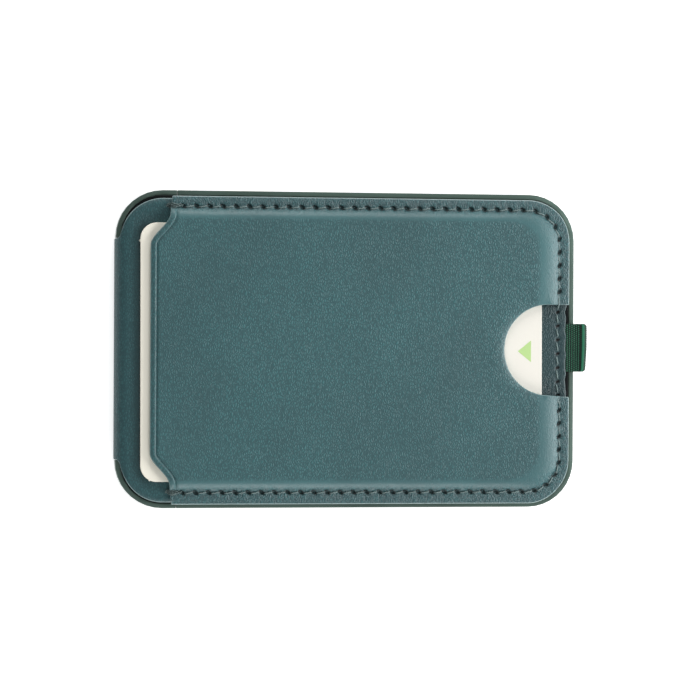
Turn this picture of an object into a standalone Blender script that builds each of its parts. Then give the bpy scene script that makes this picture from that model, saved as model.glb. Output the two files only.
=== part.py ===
"""A folding leather card holder on a magnetic base, lying on its back.

+X runs along the holder towards the pull tab, +Y runs across it, and +Z points up out of the
card pocket. The origin is the centre of the magnet ring, on the face that the holder rests on.

From the back up it is: a base plate with its magnets, a narrow end strip that folds against the
base, a pocket that swings open on the leather spine at the strip's free end, and a card.
"""

import math

import bmesh
import bpy
from mathutils import Matrix, Vector

MM = 0.001

# Overall sizes.
FRAME_LENGTH = 97.5 * MM
FRAME_WIDTH = 66.3 * MM
FRAME_CORNER_RADIUS = 9.8 * MM
STRIP_LENGTH = 12.75 * MM  # from the holder's spine end to the fold line

# Clearances.
BOND_GAP = 0.1 * MM  # a glue line between two flat layers
FIT_GAP = 0.15 * MM  # round a piece that is set into a recess
FOLD_GAP = 0.2 * MM  # between base and strip, along the fold line
COVER_GAP = 0.3 * MM  # between the closed pocket and what it lies on
CARD_GAP = 0.25 * MM  # above and below a card

# Thicknesses, from the back up.
BACK_SHEET = 0.6 * MM
FRAME_RELIEF = 0.3 * MM  # how far the frame stays off what the back sheet rests on
RING_MAGNET = 0.8 * MM
SHIELD = 0.3 * MM
WEB_SKIN = 0.6 * MM  # the frame above the magnet groove
LINING = 0.3 * MM
BOARD = 0.5 * MM
FOIL = 0.1 * MM
REAR_LEATHER = 0.8 * MM
FLANGE_LEATHER = 0.7 * MM
FACE_LEATHER = 1.05 * MM
SPINE_LEATHER = 0.8 * MM
TAB_RIBBON = 0.3 * MM
THREAD = 0.25 * MM

# Frame details.
RIM_WIDTH = 0.95 * MM
SHEET_FOLD_RADIUS = 1.2 * MM  # the back sheet's corners beside the fold
MAGNET_RING_RADIUS = 25.5 * MM  # at the middle of the magnets' width
MAGNET_RING_WIDTH = 4.0 * MM
MAGNET_COUNT = 16
MAGNET_SPLIT = 0.3 * MM  # between neighbouring magnets
SHIELD_WIDTH = 4.6 * MM
ALIGNMENT_BAR_LENGTH = 20.0 * MM
ALIGNMENT_BAR_WIDTH = 5.4 * MM
ALIGNMENT_BAR_REACH = 35.2 * MM  # from the ring's centre to the bar's centre
CLOSURE_MAGNET_LENGTH = 12.0 * MM
CLOSURE_MAGNET_WIDTH = 5.0 * MM
CLOSURE_MAGNET = 0.7 * MM
CLOSURE_FROM_END = 9.2 * MM
CLOSURE_FROM_MIDDLE = 19.0 * MM

# Spine and tongue.
TONGUE_WIDTH = 46.0 * MM
TONGUE_CORNER_RADIUS = 1.5 * MM
SPINE_PROUD = 0.35 * MM  # how far the spine stands out past the frame's end
TONGUE_END_MARGIN = 0.5 * MM  # between the tongue's end and the fold line
SPINE_ZONE_MARGIN = 0.3 * MM

# Pocket outline.
END_INSET = 1.75 * MM  # the pocket's leather, inside the frame's tab end
SPINE_INSET = 1.05 * MM  # the same at the spine end
SIDE_INSET = 1.3 * MM
LEATHER_CORNER_RADIUS = 9.0 * MM
REAR_TRIM = 0.2 * MM  # how much smaller the rear leather is cut
LAYER_TRIM = 0.25 * MM  # how much further in the hidden layers end
FLANGE_WIDTH = 2.7 * MM
SIDE_SHOULDER = 1.8 * MM
END_SHOULDER = 2.9 * MM
FLANGE_START = 11.45 * MM  # from the frame's spine end to the flange's cut end
MOUTH_START = 6.85 * MM  # from the frame's spine end to the pocket's mouth
MOUTH_HALF_STRAIGHT = 21.6 * MM
MOUTH_HALF_WIDTH = 28.2 * MM
CAVITY_SIDE_GAP = 0.35 * MM
CAVITY_END_GAP = 0.8 * MM
NOTCH_RADIUS = 9.8 * MM
NOTCH_FROM_END = 4.6 * MM  # from the flange's edge to the notch circle's centre

# Card.
CARD_LENGTH = 85.6 * MM
CARD_WIDTH = 53.98 * MM
CARD_THICKNESS = 0.76 * MM
CARD_CORNER_RADIUS = 3.3 * MM
CARD_SHIFT = (-1.35 * MM, -0.3 * MM)
CARD_TURN = math.radians(0.25)

# Pull tab and seams.
TAB_WIDTH = 10.2 * MM
TAB_SHIFT = 0.7 * MM
TAB_REACH = 2.6 * MM  # past the frame's end
TAB_HELD = 9.0 * MM  # inside the pocket's layers
TAB_LOOP_HEIGHT = 1.2 * MM
TAB_NOTCH_MARGIN = 0.5 * MM
SEAM_INSET = 1.9 * MM
SEAM_RADIUS = 7.0 * MM
SEAM_WIDTH = 0.4 * MM
SEAM_END_MARGIN = 0.7 * MM
TAB_SEAM_INSET = 2.3 * MM

ARC_STEPS = 9  # segments in a quarter circle
RING_STEPS = 96
SHOULDER_STEPS = 5
MOUTH_STEPS = 10
OVERCUT = 3.0 * MM  # how far a cutter runs past what it cuts

# Heights worked out from the stack.
WEB_BOTTOM = BACK_SHEET + BOND_GAP
SHIELD_BOTTOM = WEB_BOTTOM + RING_MAGNET + BOND_GAP
GROOVE_TOP = SHIELD_BOTTOM + SHIELD + BOND_GAP
WEB_TOP = GROOVE_TOP + WEB_SKIN
BASE_LINING_BOTTOM = WEB_TOP + BOND_GAP
FRAME_TOP = BASE_LINING_BOTTOM + LINING
POCKET_BOTTOM = FRAME_TOP + COVER_GAP
BOARD_BOTTOM = POCKET_BOTTOM + LINING + BOND_GAP
FOIL_BOTTOM = BOARD_BOTTOM + BOARD + BOND_GAP
REAR_LEATHER_BOTTOM = FOIL_BOTTOM + FOIL + BOND_GAP
REAR_LEATHER_TOP = REAR_LEATHER_BOTTOM + REAR_LEATHER
FLANGE_BOTTOM = REAR_LEATHER_TOP + BOND_GAP
FLANGE_TOP = FLANGE_BOTTOM + FLANGE_LEATHER
CARD_BOTTOM = REAR_LEATHER_TOP + CARD_GAP
CAVITY_TOP = CARD_BOTTOM + CARD_THICKNESS + CARD_GAP
FACE_TOP = CAVITY_TOP + FACE_LEATHER

# Places worked out from the sizes.
FRAME_END = FRAME_LENGTH / 2
FRAME_SIDE = FRAME_WIDTH / 2
FOLD_X = -FRAME_END + STRIP_LENGTH
LEATHER_LEFT = -FRAME_END + SPINE_INSET
LEATHER_RIGHT = FRAME_END - END_INSET
LEATHER_SIDE = FRAME_SIDE - SIDE_INSET
SPINE_RADIUS = REAR_LEATHER_TOP / 2
SPINE_CENTRE = (-FRAME_END - SPINE_PROUD + SPINE_RADIUS, SPINE_RADIUS)
TONGUE_LEFT = SPINE_CENTRE[0]
COVER_AXIS = Vector((-FRAME_END - SPINE_PROUD + SPINE_LEATHER / 2, 0, FRAME_TOP + COVER_GAP / 2))
FOLD_AXIS = Vector((FOLD_X, 0, FRAME_TOP))
FLANGE_START_X = -FRAME_END + FLANGE_START
MOUTH_X = -FRAME_END + MOUTH_START
NOTCH_X = LEATHER_RIGHT - NOTCH_FROM_END
TAB_LEFT = FRAME_END - TAB_HELD
TAB_SEAM_X = LEATHER_RIGHT - TAB_SEAM_INSET

# Finishes: colour (linear), roughness, metallic.
TEAL_LEATHER = ((0.068, 0.145, 0.156), 0.55, 0.0)
DARK_PLASTIC = ((0.095, 0.135, 0.12), 0.5, 0.0)
LINING_FABRIC = ((0.022, 0.035, 0.036), 0.85, 0.0)
TAB_FABRIC = ((0.022, 0.06, 0.038), 0.8, 0.0)
THREAD_GREY = ((0.11, 0.17, 0.17), 0.7, 0.0)
NICKEL = ((0.56, 0.55, 0.52), 0.28, 1.0)
STEEL = ((0.42, 0.43, 0.44), 0.35, 1.0)
FOIL_METAL = ((0.8, 0.8, 0.81), 0.25, 1.0)
FIBRE_BOARD = ((0.3, 0.24, 0.17), 0.9, 0.0)
CARD_PAPER = ((0.86, 0.83, 0.74), 0.6, 0.0)


def clear_scene():
    """Removes whatever the scene holds."""
    for obj in list(bpy.data.objects):
        bpy.data.objects.remove(obj, do_unlink=True)


def arc(centre, radius, start, end, steps=ARC_STEPS):
    """Points along an arc, both ends included; the angles are in degrees."""
    angles = [math.radians(start + (end - start) * i / steps) for i in range(steps + 1)]
    return [(centre[0] + radius * math.cos(a), centre[1] + radius * math.sin(a)) for a in angles]


def rounded_outline(left, right, bottom, top, left_radius, right_radius):
    """A rectangle's outline with round corners, anticlockwise; a radius of 0 leaves a sharp corner."""
    corners = (
        (right, top, right_radius, 0),
        (left, top, left_radius, 90),
        (left, bottom, left_radius, 180),
        (right, bottom, right_radius, 270),
    )
    points = []
    for x, y, radius, angle in corners:
        if radius == 0:
            points.append((x, y))
            continue
        inward_x = math.copysign(radius, left + right - 2 * x)
        inward_y = math.copysign(radius, bottom + top - 2 * y)
        points += arc((x + inward_x, y + inward_y), radius, angle, angle + 90)
    return points


def rectangle(centre_x, centre_y, length, width):
    """A plain rectangle's outline, length along X and width along Y."""
    left, right = centre_x - length / 2, centre_x + length / 2
    return rounded_outline(left, right, centre_y - width / 2, centre_y + width / 2, 0, 0)


def make_object(name, mesh):
    """Turns a bmesh into an object, with its faces pointing out and its curves shaded smooth."""
    bmesh.ops.recalc_face_normals(mesh, faces=mesh.faces)
    data = bpy.data.meshes.new(name)
    mesh.to_mesh(data)
    mesh.free()
    data.shade_smooth()
    data.set_sharp_from_angle(angle=math.radians(30))
    obj = bpy.data.objects.new(name, data)
    bpy.context.collection.objects.link(obj)
    return obj


def loft(name, rings, closed_tube=False):
    """A solid through rings of points; a closed tube joins its last ring to its first, and has no ends."""
    mesh = bmesh.new()
    rows = [[mesh.verts.new(point) for point in ring] for ring in rings]
    pairs = list(zip(rows, rows[1:]))
    if closed_tube:
        pairs.append((rows[-1], rows[0]))
    for low, high in pairs:
        for i in range(len(low)):
            j = (i + 1) % len(low)
            mesh.faces.new((low[i], low[j], high[j], high[i]))
    if not closed_tube:
        mesh.faces.new(rows[0])
        mesh.faces.new(rows[-1])
    return make_object(name, mesh)


def prism(name, outline, bottom, top):
    """A solid with this plan outline between two heights."""
    return loft(name, [[(x, y, z) for x, y in outline] for z in (bottom, top)])


def profile_bar(name, profile, low_y, high_y):
    """A solid whose X-Z section is the same all along Y."""
    return loft(name, [[(x, y, z) for x, z in profile] for y in (low_y, high_y)])


def flat_ring(name, inner, outer, bottom, top):
    """A flat washer round the magnet ring's centre."""
    corners = ((outer, bottom), (outer, top), (inner, top), (inner, bottom))
    turns = [2 * math.pi * i / RING_STEPS for i in range(RING_STEPS)]
    rings = [[(r * math.cos(a), r * math.sin(a), z) for a in turns] for r, z in corners]
    return loft(name, rings, closed_tube=True)


def path_strip(name, path, width, bottom, top):
    """A flat strip of this width along a plan path, as a thread lies along its seam."""
    points = [Vector((x, y, 0)) for x, y in path]
    rings = []
    for i, point in enumerate(points):
        along = points[min(i + 1, len(points) - 1)] - points[max(i - 1, 0)]
        aside = Vector((-along.y, along.x, 0)).normalized() * width / 2
        left, right = point + aside, point - aside
        rings.append([(p.x, p.y, z) for p, z in ((left, bottom), (left, top), (right, top), (right, bottom))])
    return loft(name, rings)


def combine(obj, other, operation):
    """Cuts an object with another, or keeps only what the two share."""
    modifier = obj.modifiers.new(f"{operation.lower()}_{other.name}", "BOOLEAN")
    modifier.operation = operation
    modifier.object = other
    modifier.solver = "EXACT"
    other.hide_render = True
    other.display_type = "WIRE"
    other.parent = obj


def cut(obj, *cutters):
    """Takes each cutter's shape away from an object."""
    for cutter in cutters:
        combine(obj, cutter, "DIFFERENCE")
    return obj


def paint(obj, finish):
    """Gives an object a material of its own."""
    colour, roughness, metallic = finish
    material = bpy.data.materials.new(f"{obj.name}_finish")
    material.use_nodes = True
    shader = material.node_tree.nodes["Principled BSDF"]
    shader.inputs["Base Color"].default_value = (*colour, 1)
    shader.inputs["Roughness"].default_value = roughness
    shader.inputs["Metallic"].default_value = metallic
    obj.data.materials.append(material)
    return obj


def pivot(name, place, parent=None, parent_place=Vector()):
    """An empty on a joint's axis, which carries the pieces that move about it."""
    empty = bpy.data.objects.new(name, None)
    empty.empty_display_size = 5 * MM
    empty.parent = parent
    empty.location = place - parent_place
    bpy.context.collection.objects.link(empty)
    return empty


def hang(empty, place, *pieces):
    """Parents pieces and their cutters to a pivot, with their origins on its axis."""
    for piece in pieces:
        for obj in (piece, *piece.children):
            obj.data.transform(Matrix.Translation(-place))
        piece.parent = empty


def base_outline(inset, overrun=0):
    """The base plate's outline, this far inside its edge, ending at the fold line or past it."""
    radius = FRAME_CORNER_RADIUS - inset
    side = FRAME_SIDE - inset
    return rounded_outline(FOLD_X + FOLD_GAP / 2 - overrun, FRAME_END - inset, -side, side, 0, radius)


def strip_outline(inset, overrun=0):
    """The end strip's outline, this far inside its edge, ending at the fold line or past it."""
    radius = FRAME_CORNER_RADIUS - inset
    side = FRAME_SIDE - inset
    return rounded_outline(-FRAME_END + inset, FOLD_X - FOLD_GAP / 2 + overrun, -side, side, radius, 0)


def leather_outline(side_inset, end_inset, radius, left):
    """The pocket's outline inside the flange's edge, running left as far as asked."""
    side = LEATHER_SIDE - side_inset
    return rounded_outline(left, LEATHER_RIGHT - end_inset, -side, side, radius, radius)


def back_sheet_outline(inset):
    """The outline of the sheet under the base, with its own round corners at the fold."""
    side = FRAME_SIDE - inset
    left = FOLD_X + FOLD_GAP / 2 + inset
    radius = FRAME_CORNER_RADIUS - inset
    return rounded_outline(left, FRAME_END - inset, -side, side, SHEET_FOLD_RADIUS, radius)


def closure_places():
    """The centres of the two magnets that hold the pocket shut."""
    return [(FRAME_END - CLOSURE_FROM_END, side * CLOSURE_FROM_MIDDLE) for side in (-1, 1)]


def ring_sector(index):
    """One ring magnet's outline: its share of the ring, less the split to its neighbours."""
    inner = MAGNET_RING_RADIUS - MAGNET_RING_WIDTH / 2
    outer = MAGNET_RING_RADIUS + MAGNET_RING_WIDTH / 2
    share = 360 / MAGNET_COUNT
    split = math.degrees(MAGNET_SPLIT / MAGNET_RING_RADIUS) / 2
    start, end = index * share + split, (index + 1) * share - split
    return arc((0, 0), outer, start, end, 6) + arc((0, 0), inner, end, start, 6)


def make_base():
    """The base plate, its magnets, and the sheets on both of its faces."""
    frame = prism("base_frame", base_outline(0), FRAME_RELIEF, FRAME_TOP)
    lining_recess = base_outline(RIM_WIDTH, OVERCUT)
    groove_half = SHIELD_WIDTH / 2 + FIT_GAP
    bar_recess = rectangle(
        ALIGNMENT_BAR_REACH, 0, ALIGNMENT_BAR_WIDTH + 2 * FIT_GAP, ALIGNMENT_BAR_LENGTH + 2 * FIT_GAP
    )
    cut(
        frame,
        prism("lining_recess", lining_recess, WEB_TOP, FRAME_TOP + OVERCUT),
        prism("sheet_recess", back_sheet_outline(RIM_WIDTH), FRAME_RELIEF - OVERCUT, WEB_BOTTOM),
        flat_ring(
            "magnet_groove",
            MAGNET_RING_RADIUS - groove_half,
            MAGNET_RING_RADIUS + groove_half,
            FRAME_RELIEF,
            GROOVE_TOP,
        ),
        prism("bar_recess", bar_recess, FRAME_RELIEF, WEB_BOTTOM + RING_MAGNET + BOND_GAP),
    )
    magnet_bottom = WEB_TOP - CLOSURE_MAGNET
    magnets = []
    for i, (x, y) in enumerate(closure_places(), 1):
        recess = rectangle(x, y, CLOSURE_MAGNET_WIDTH + 2 * FIT_GAP, CLOSURE_MAGNET_LENGTH + 2 * FIT_GAP)
        cut(frame, prism(f"closure_recess_{i}", recess, magnet_bottom - BOND_GAP, FRAME_TOP))
        magnet = rectangle(x, y, CLOSURE_MAGNET_WIDTH, CLOSURE_MAGNET_LENGTH)
        magnets.append(prism(f"closure_magnet_{i}", magnet, magnet_bottom, WEB_TOP))
    paint(frame, DARK_PLASTIC)
    sheet = prism("base_back_sheet", back_sheet_outline(RIM_WIDTH + FIT_GAP), 0, BACK_SHEET)
    paint(sheet, TEAL_LEATHER)
    lining = prism("base_lining", base_outline(RIM_WIDTH + FIT_GAP), BASE_LINING_BOTTOM, FRAME_TOP)
    paint(lining, LINING_FABRIC)
    shield = flat_ring(
        "shield_ring",
        MAGNET_RING_RADIUS - SHIELD_WIDTH / 2,
        MAGNET_RING_RADIUS + SHIELD_WIDTH / 2,
        SHIELD_BOTTOM,
        SHIELD_BOTTOM + SHIELD,
    )
    paint(shield, STEEL)
    for i in range(MAGNET_COUNT):
        name = f"ring_magnet_{i + 1:02d}"
        magnets.append(prism(name, ring_sector(i), WEB_BOTTOM, WEB_BOTTOM + RING_MAGNET))
    bar = rectangle(ALIGNMENT_BAR_REACH, 0, ALIGNMENT_BAR_WIDTH, ALIGNMENT_BAR_LENGTH)
    magnets.append(prism("alignment_magnet", bar, WEB_BOTTOM, WEB_BOTTOM + RING_MAGNET))
    for magnet in magnets:
        paint(magnet, NICKEL)


def spine_nose():
    """The X-Z outline of what the end strip loses to the spine's bend and the tongue."""
    radius = SPINE_RADIUS - SPINE_LEATHER - FIT_GAP
    tongue_top = SPINE_LEATHER + FIT_GAP
    high = 180 - math.degrees(math.asin((FRAME_TOP - SPINE_RADIUS) / radius))
    nose = arc(SPINE_CENTRE, radius, 270, high, 6)
    left, right = -FRAME_END - OVERCUT, FOLD_X - FOLD_GAP / 2 - TONGUE_END_MARGIN / 2
    outside = [(nose[-1][0], FRAME_TOP + OVERCUT), (left, FRAME_TOP + OVERCUT), (left, -OVERCUT)]
    return nose + outside + [(right, -OVERCUT), (right, tongue_top)]


def tongue_sides(margin):
    """The low and high Y of the tongue, with this margin on each side."""
    half = TONGUE_WIDTH / 2 + margin
    return -half, half


def make_end_strip():
    """The strip that folds against the base, with the leather tongue and spine that carry the pocket."""
    frame = prism("end_frame", strip_outline(0), FRAME_RELIEF, FRAME_TOP)
    lining_recess = strip_outline(RIM_WIDTH, OVERCUT)
    cut(
        frame,
        prism("strip_lining_recess", lining_recess, WEB_TOP, FRAME_TOP + OVERCUT),
        profile_bar("tongue_recess", spine_nose(), *tongue_sides(FIT_GAP)),
    )
    paint(frame, DARK_PLASTIC)
    lining = prism("end_lining", strip_outline(RIM_WIDTH + FIT_GAP), BASE_LINING_BOTTOM, FRAME_TOP)
    paint(lining, LINING_FABRIC)
    tongue_right = FOLD_X - FOLD_GAP / 2 - TONGUE_END_MARGIN
    low_y, high_y = tongue_sides(0)
    tongue_outline = rounded_outline(
        TONGUE_LEFT + BOND_GAP, tongue_right, low_y, high_y, 0, TONGUE_CORNER_RADIUS
    )
    tongue = paint(prism("hinge_tongue", tongue_outline, 0, SPINE_LEATHER), TEAL_LEATHER)
    bend = arc(SPINE_CENTRE, SPINE_RADIUS, 90, 270, 14)
    bend += arc(SPINE_CENTRE, SPINE_RADIUS - SPINE_LEATHER, 270, 90, 14)
    spine = paint(profile_bar("hinge_spine", bend, low_y, high_y), TEAL_LEATHER)
    return frame, lining, tongue, spine


def mouth_edge():
    """The mouth's plan line from its +Y end to its -Y end: straight in the middle, an S at each side."""
    curve = []
    for i in range(MOUTH_STEPS + 1):
        t = i / MOUTH_STEPS
        y = MOUTH_HALF_WIDTH + (MOUTH_HALF_STRAIGHT - MOUTH_HALF_WIDTH) * t
        curve.append((FLANGE_START_X + (MOUTH_X - FLANGE_START_X) * t * t * (3 - 2 * t), y))
    return curve + [(x, -y) for x, y in reversed(curve)]


def make_front_shell():
    """The moulded front leather: a stitched flange, a rounded shoulder, and a flat raised face."""
    left = -FRAME_END - OVERCUT
    outlines = [(0, 0, LEATHER_CORNER_RADIUS, FLANGE_BOTTOM), (0, 0, LEATHER_CORNER_RADIUS, FLANGE_TOP)]
    for i in range(SHOULDER_STEPS + 1):
        t = i / SHOULDER_STEPS
        side, end = FLANGE_WIDTH + SIDE_SHOULDER * t, FLANGE_WIDTH + END_SHOULDER * t
        height = FLANGE_TOP + (FACE_TOP - FLANGE_TOP) * (1 - math.cos(math.pi * t)) / 2
        outlines.append((side, end, LEATHER_CORNER_RADIUS - side, height))
    rings = [
        [(x, y, z) for x, y in leather_outline(side, end, radius, left + side)]
        for side, end, radius, z in outlines
    ]
    shell = loft("front_shell", rings)
    mouth = mouth_edge()
    plan = [(FRAME_END + OVERCUT, FRAME_SIDE + OVERCUT), (FLANGE_START_X, FRAME_SIDE + OVERCUT)]
    plan += mouth + [(x, -y) for x, y in reversed(plan)]
    combine(shell, prism("shell_plan", plan, 0, FACE_TOP + OVERCUT), "INTERSECT")
    cavity_right = CARD_SHIFT[0] + CARD_LENGTH / 2 + CAVITY_END_GAP
    cavity_side = CARD_WIDTH / 2 + abs(CARD_SHIFT[1]) + card_swing() + CAVITY_SIDE_GAP
    cavity = rounded_outline(
        left - OVERCUT, cavity_right, -cavity_side, cavity_side, 0, CARD_CORNER_RADIUS
    )
    notch = arc((NOTCH_X, 0), NOTCH_RADIUS, 90, 270, 2 * ARC_STEPS)
    notch += [(FRAME_END + OVERCUT, -NOTCH_RADIUS), (FRAME_END + OVERCUT, NOTCH_RADIUS)]
    cut(
        shell,
        prism("card_cavity", cavity, FLANGE_BOTTOM - OVERCUT, CAVITY_TOP),
        prism("thumb_notch", notch, FLANGE_BOTTOM - OVERCUT, FACE_TOP + OVERCUT),
    )
    return paint(shell, TEAL_LEATHER)


def card_swing():
    """How far the card's small turn moves its corners sideways."""
    return CARD_LENGTH / 2 * math.sin(abs(CARD_TURN))


def make_rear_leather():
    """The leather that the card slides on; it stops short where the spine takes over."""
    outline = rounded_outline(
        LEATHER_LEFT,
        LEATHER_RIGHT - REAR_TRIM,
        REAR_TRIM - LEATHER_SIDE,
        LEATHER_SIDE - REAR_TRIM,
        LEATHER_CORNER_RADIUS,
        LEATHER_CORNER_RADIUS,
    )
    leather = prism("rear_leather", outline, REAR_LEATHER_BOTTOM, REAR_LEATHER_TOP)
    low_y, high_y = tongue_sides(SPINE_ZONE_MARGIN)
    left = -FRAME_END - OVERCUT
    zone = rounded_outline(left, TONGUE_LEFT + BOND_GAP, low_y, high_y, 0, 0)
    cut(leather, prism("spine_zone", zone, POCKET_BOTTOM, FLANGE_BOTTOM))
    return paint(leather, TEAL_LEATHER)


def layer_outline(trim):
    """The outline of a hidden layer of the pocket, between the spine and the flange's edge."""
    side = LEATHER_SIDE - trim
    radius = LEATHER_CORNER_RADIUS - trim
    return rounded_outline(LEATHER_LEFT + END_INSET, LEATHER_RIGHT - trim, -side, side, radius, radius)


def tab_notch(name):
    """A cutter that leaves room for the pull tab in a hidden layer."""
    length = FRAME_END + OVERCUT - TAB_LEFT + TAB_NOTCH_MARGIN
    centre_x = FRAME_END + OVERCUT - length / 2
    outline = rectangle(centre_x, TAB_SHIFT, length, TAB_WIDTH + 2 * TAB_NOTCH_MARGIN)
    return prism(name, outline, POCKET_BOTTOM, REAR_LEATHER_TOP)


def make_pocket_layers():
    """The lining under the pocket, its stiff board with two steel plates, and its foil."""
    lining = prism("rear_lining", layer_outline(LAYER_TRIM), POCKET_BOTTOM, POCKET_BOTTOM + LINING)
    paint(lining, LINING_FABRIC)
    board = prism("rear_board", layer_outline(2 * LAYER_TRIM), BOARD_BOTTOM, BOARD_BOTTOM + BOARD)
    cut(board, tab_notch("board_tab_notch"))
    plates = []
    for i, (x, y) in enumerate(closure_places(), 1):
        hole = rectangle(x, y, CLOSURE_MAGNET_WIDTH + 2 * FIT_GAP, CLOSURE_MAGNET_LENGTH + 2 * FIT_GAP)
        cut(board, prism(f"plate_hole_{i}", hole, POCKET_BOTTOM, REAR_LEATHER_BOTTOM))
        plate = rectangle(x, y, CLOSURE_MAGNET_WIDTH, CLOSURE_MAGNET_LENGTH)
        plates.append(paint(prism(f"strike_plate_{i}", plate, BOARD_BOTTOM, BOARD_BOTTOM + BOARD), STEEL))
    paint(board, FIBRE_BOARD)
    foil = prism("rfid_foil", layer_outline(SEAM_INSET + SEAM_WIDTH), FOIL_BOTTOM, FOIL_BOTTOM + FOIL)
    cut(foil, tab_notch("foil_tab_notch"))
    paint(foil, FOIL_METAL)
    return lining, board, foil, *plates


def make_pull_tab():
    """The ribbon loop: two layers held in the pocket, and a round fold past the frame's end."""
    low, high = BOARD_BOTTOM, REAR_LEATHER_BOTTOM - BOND_GAP
    middle = (low + high) / 2
    tip = FRAME_END + TAB_REACH
    outer = TAB_LOOP_HEIGHT / 2
    bend = (tip - outer, middle)
    neck = FRAME_END + FIT_GAP
    outside = [(TAB_LEFT, low), (neck, low), *arc(bend, outer, -90, 90, 8), (neck, high), (TAB_LEFT, high)]
    inside = [(TAB_LEFT, high - TAB_RIBBON), (neck, high - TAB_RIBBON)]
    inside += arc(bend, outer - TAB_RIBBON, 90, -90, 8)
    inside += [(neck, low + TAB_RIBBON), (TAB_LEFT, low + TAB_RIBBON)]
    half = TAB_WIDTH / 2
    tab = profile_bar("pull_tab", outside + inside, TAB_SHIFT - half, TAB_SHIFT + half)
    return paint(tab, TAB_FABRIC)


def make_threads():
    """The seam round the flange, in two runs that stop at the thumb notch, and the tab's own seam."""
    side = LEATHER_SIDE - SEAM_INSET
    right = LEATHER_RIGHT - SEAM_INSET
    corner = (right - SEAM_RADIUS, side - SEAM_RADIUS)
    start = FLANGE_START_X + SEAM_END_MARGIN
    stop = NOTCH_RADIUS + SEAM_END_MARGIN
    path = [(start, side), *arc(corner, SEAM_RADIUS, 90, 0), (right, stop)]
    bottom = FLANGE_TOP + BOND_GAP
    upper = path_strip("seam_thread_upper", path, SEAM_WIDTH, bottom, bottom + THREAD)
    mirrored = [(x, -y) for x, y in path]
    lower = path_strip("seam_thread_lower", mirrored, SEAM_WIDTH, bottom, bottom + THREAD)
    reach = NOTCH_RADIUS - SEAM_END_MARGIN
    tab_path = [(TAB_SEAM_X, -reach), (TAB_SEAM_X, reach)]
    tab_bottom = REAR_LEATHER_TOP + BOND_GAP
    tab = path_strip("tab_thread", tab_path, SEAM_WIDTH, tab_bottom, tab_bottom + THREAD)
    return [paint(thread, THREAD_GREY) for thread in (upper, lower, tab)]


def make_card():
    """One standard card, a little askew, its end showing at the mouth."""
    half_length, half_width = CARD_LENGTH / 2, CARD_WIDTH / 2
    radius = CARD_CORNER_RADIUS
    outline = rounded_outline(-half_length, half_length, -half_width, half_width, radius, radius)
    card = prism("insert_card", outline, CARD_BOTTOM, CARD_BOTTOM + CARD_THICKNESS)
    place = Matrix.Translation((*CARD_SHIFT, 0)) @ Matrix.Rotation(CARD_TURN, 4, "Z")
    card.data.transform(place)
    return paint(card, CARD_PAPER)


def main():
    """Builds the holder, and hangs what moves on the three joints' pivots."""
    clear_scene()
    make_base()
    fold = pivot("fold_pivot", FOLD_AXIS)
    cover = pivot("cover_pivot", COVER_AXIS, fold, FOLD_AXIS)
    card_place = Vector((*CARD_SHIFT, CARD_BOTTOM))
    slide = pivot("card_pivot", card_place, cover, COVER_AXIS)
    hang(fold, FOLD_AXIS, *make_end_strip())
    hang(cover, COVER_AXIS, make_front_shell(), make_rear_leather(), make_pull_tab())
    hang(cover, COVER_AXIS, *make_pocket_layers(), *make_threads())
    hang(slide, card_place, make_card())


main()
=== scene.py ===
"""Looks of a folding leather card holder: moulded leather, thread, ribbon, polymer frame and card.

Shapes are worked out in millimetres and turned into metres when a mesh is made. Every place comes
from the boxes of the frame's own nodes.
"""

from __future__ import annotations

import logging
import math
from collections.abc import Callable
from dataclasses import dataclass, field
from enum import Enum

import sys

import bmesh
import bpy
import numpy as np
from bpy.types import Material, Node, NodeSocket, NodeTree, Object
from mathutils import Matrix, Vector
from mathutils.geometry import delaunay_2d_cdt


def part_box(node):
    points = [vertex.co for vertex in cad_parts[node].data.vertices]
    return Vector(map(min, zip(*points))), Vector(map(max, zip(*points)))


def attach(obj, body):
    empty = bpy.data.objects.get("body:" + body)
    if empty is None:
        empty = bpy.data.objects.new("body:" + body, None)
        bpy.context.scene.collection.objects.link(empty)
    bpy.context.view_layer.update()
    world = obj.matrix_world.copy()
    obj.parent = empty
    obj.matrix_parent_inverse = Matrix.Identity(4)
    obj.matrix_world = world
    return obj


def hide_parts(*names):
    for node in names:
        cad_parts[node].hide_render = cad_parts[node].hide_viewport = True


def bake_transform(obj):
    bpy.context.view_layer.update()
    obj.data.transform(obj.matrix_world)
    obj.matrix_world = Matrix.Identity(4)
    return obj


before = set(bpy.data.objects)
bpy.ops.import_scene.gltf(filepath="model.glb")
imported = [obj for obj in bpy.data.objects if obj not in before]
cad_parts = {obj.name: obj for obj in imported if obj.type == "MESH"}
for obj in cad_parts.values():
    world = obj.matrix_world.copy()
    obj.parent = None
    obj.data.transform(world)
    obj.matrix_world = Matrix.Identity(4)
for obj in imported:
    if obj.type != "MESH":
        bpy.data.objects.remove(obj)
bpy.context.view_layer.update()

MM = 0.001
LOG = logging.getLogger("card_holder")
Array = np.ndarray


# ---------------------------------------------------------------- plan geometry


def box_mm(node: str) -> tuple[Array, Array]:
    """Returns a node's lowest and highest corner, in millimetres."""
    low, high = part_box(node)
    return np.array(low) / MM, np.array(high) / MM


def smooth(value: Array, low: float, high: float) -> Array:
    """Returns the cubic step that is 0 at low and 1 at high, flat at both."""
    t = np.clip((value - low) / (high - low), 0, 1)
    return t * t * (3 - 2 * t)


def arc(centre: tuple[float, float], radius: float, start: float, end: float, steps: int = 24) -> Array:
    """Points on a circle between two angles.

    Args:
        centre: the circle's centre.
        radius: its radius.
        start: the first angle, in degrees.
        end: the last angle, in degrees.
        steps: how many segments.

    Returns:
        The points, both ends included.
    """
    angle = np.radians(np.linspace(start, end, steps + 1))
    return np.stack([centre[0] + radius * np.cos(angle), centre[1] + radius * np.sin(angle)], axis=1)


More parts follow.
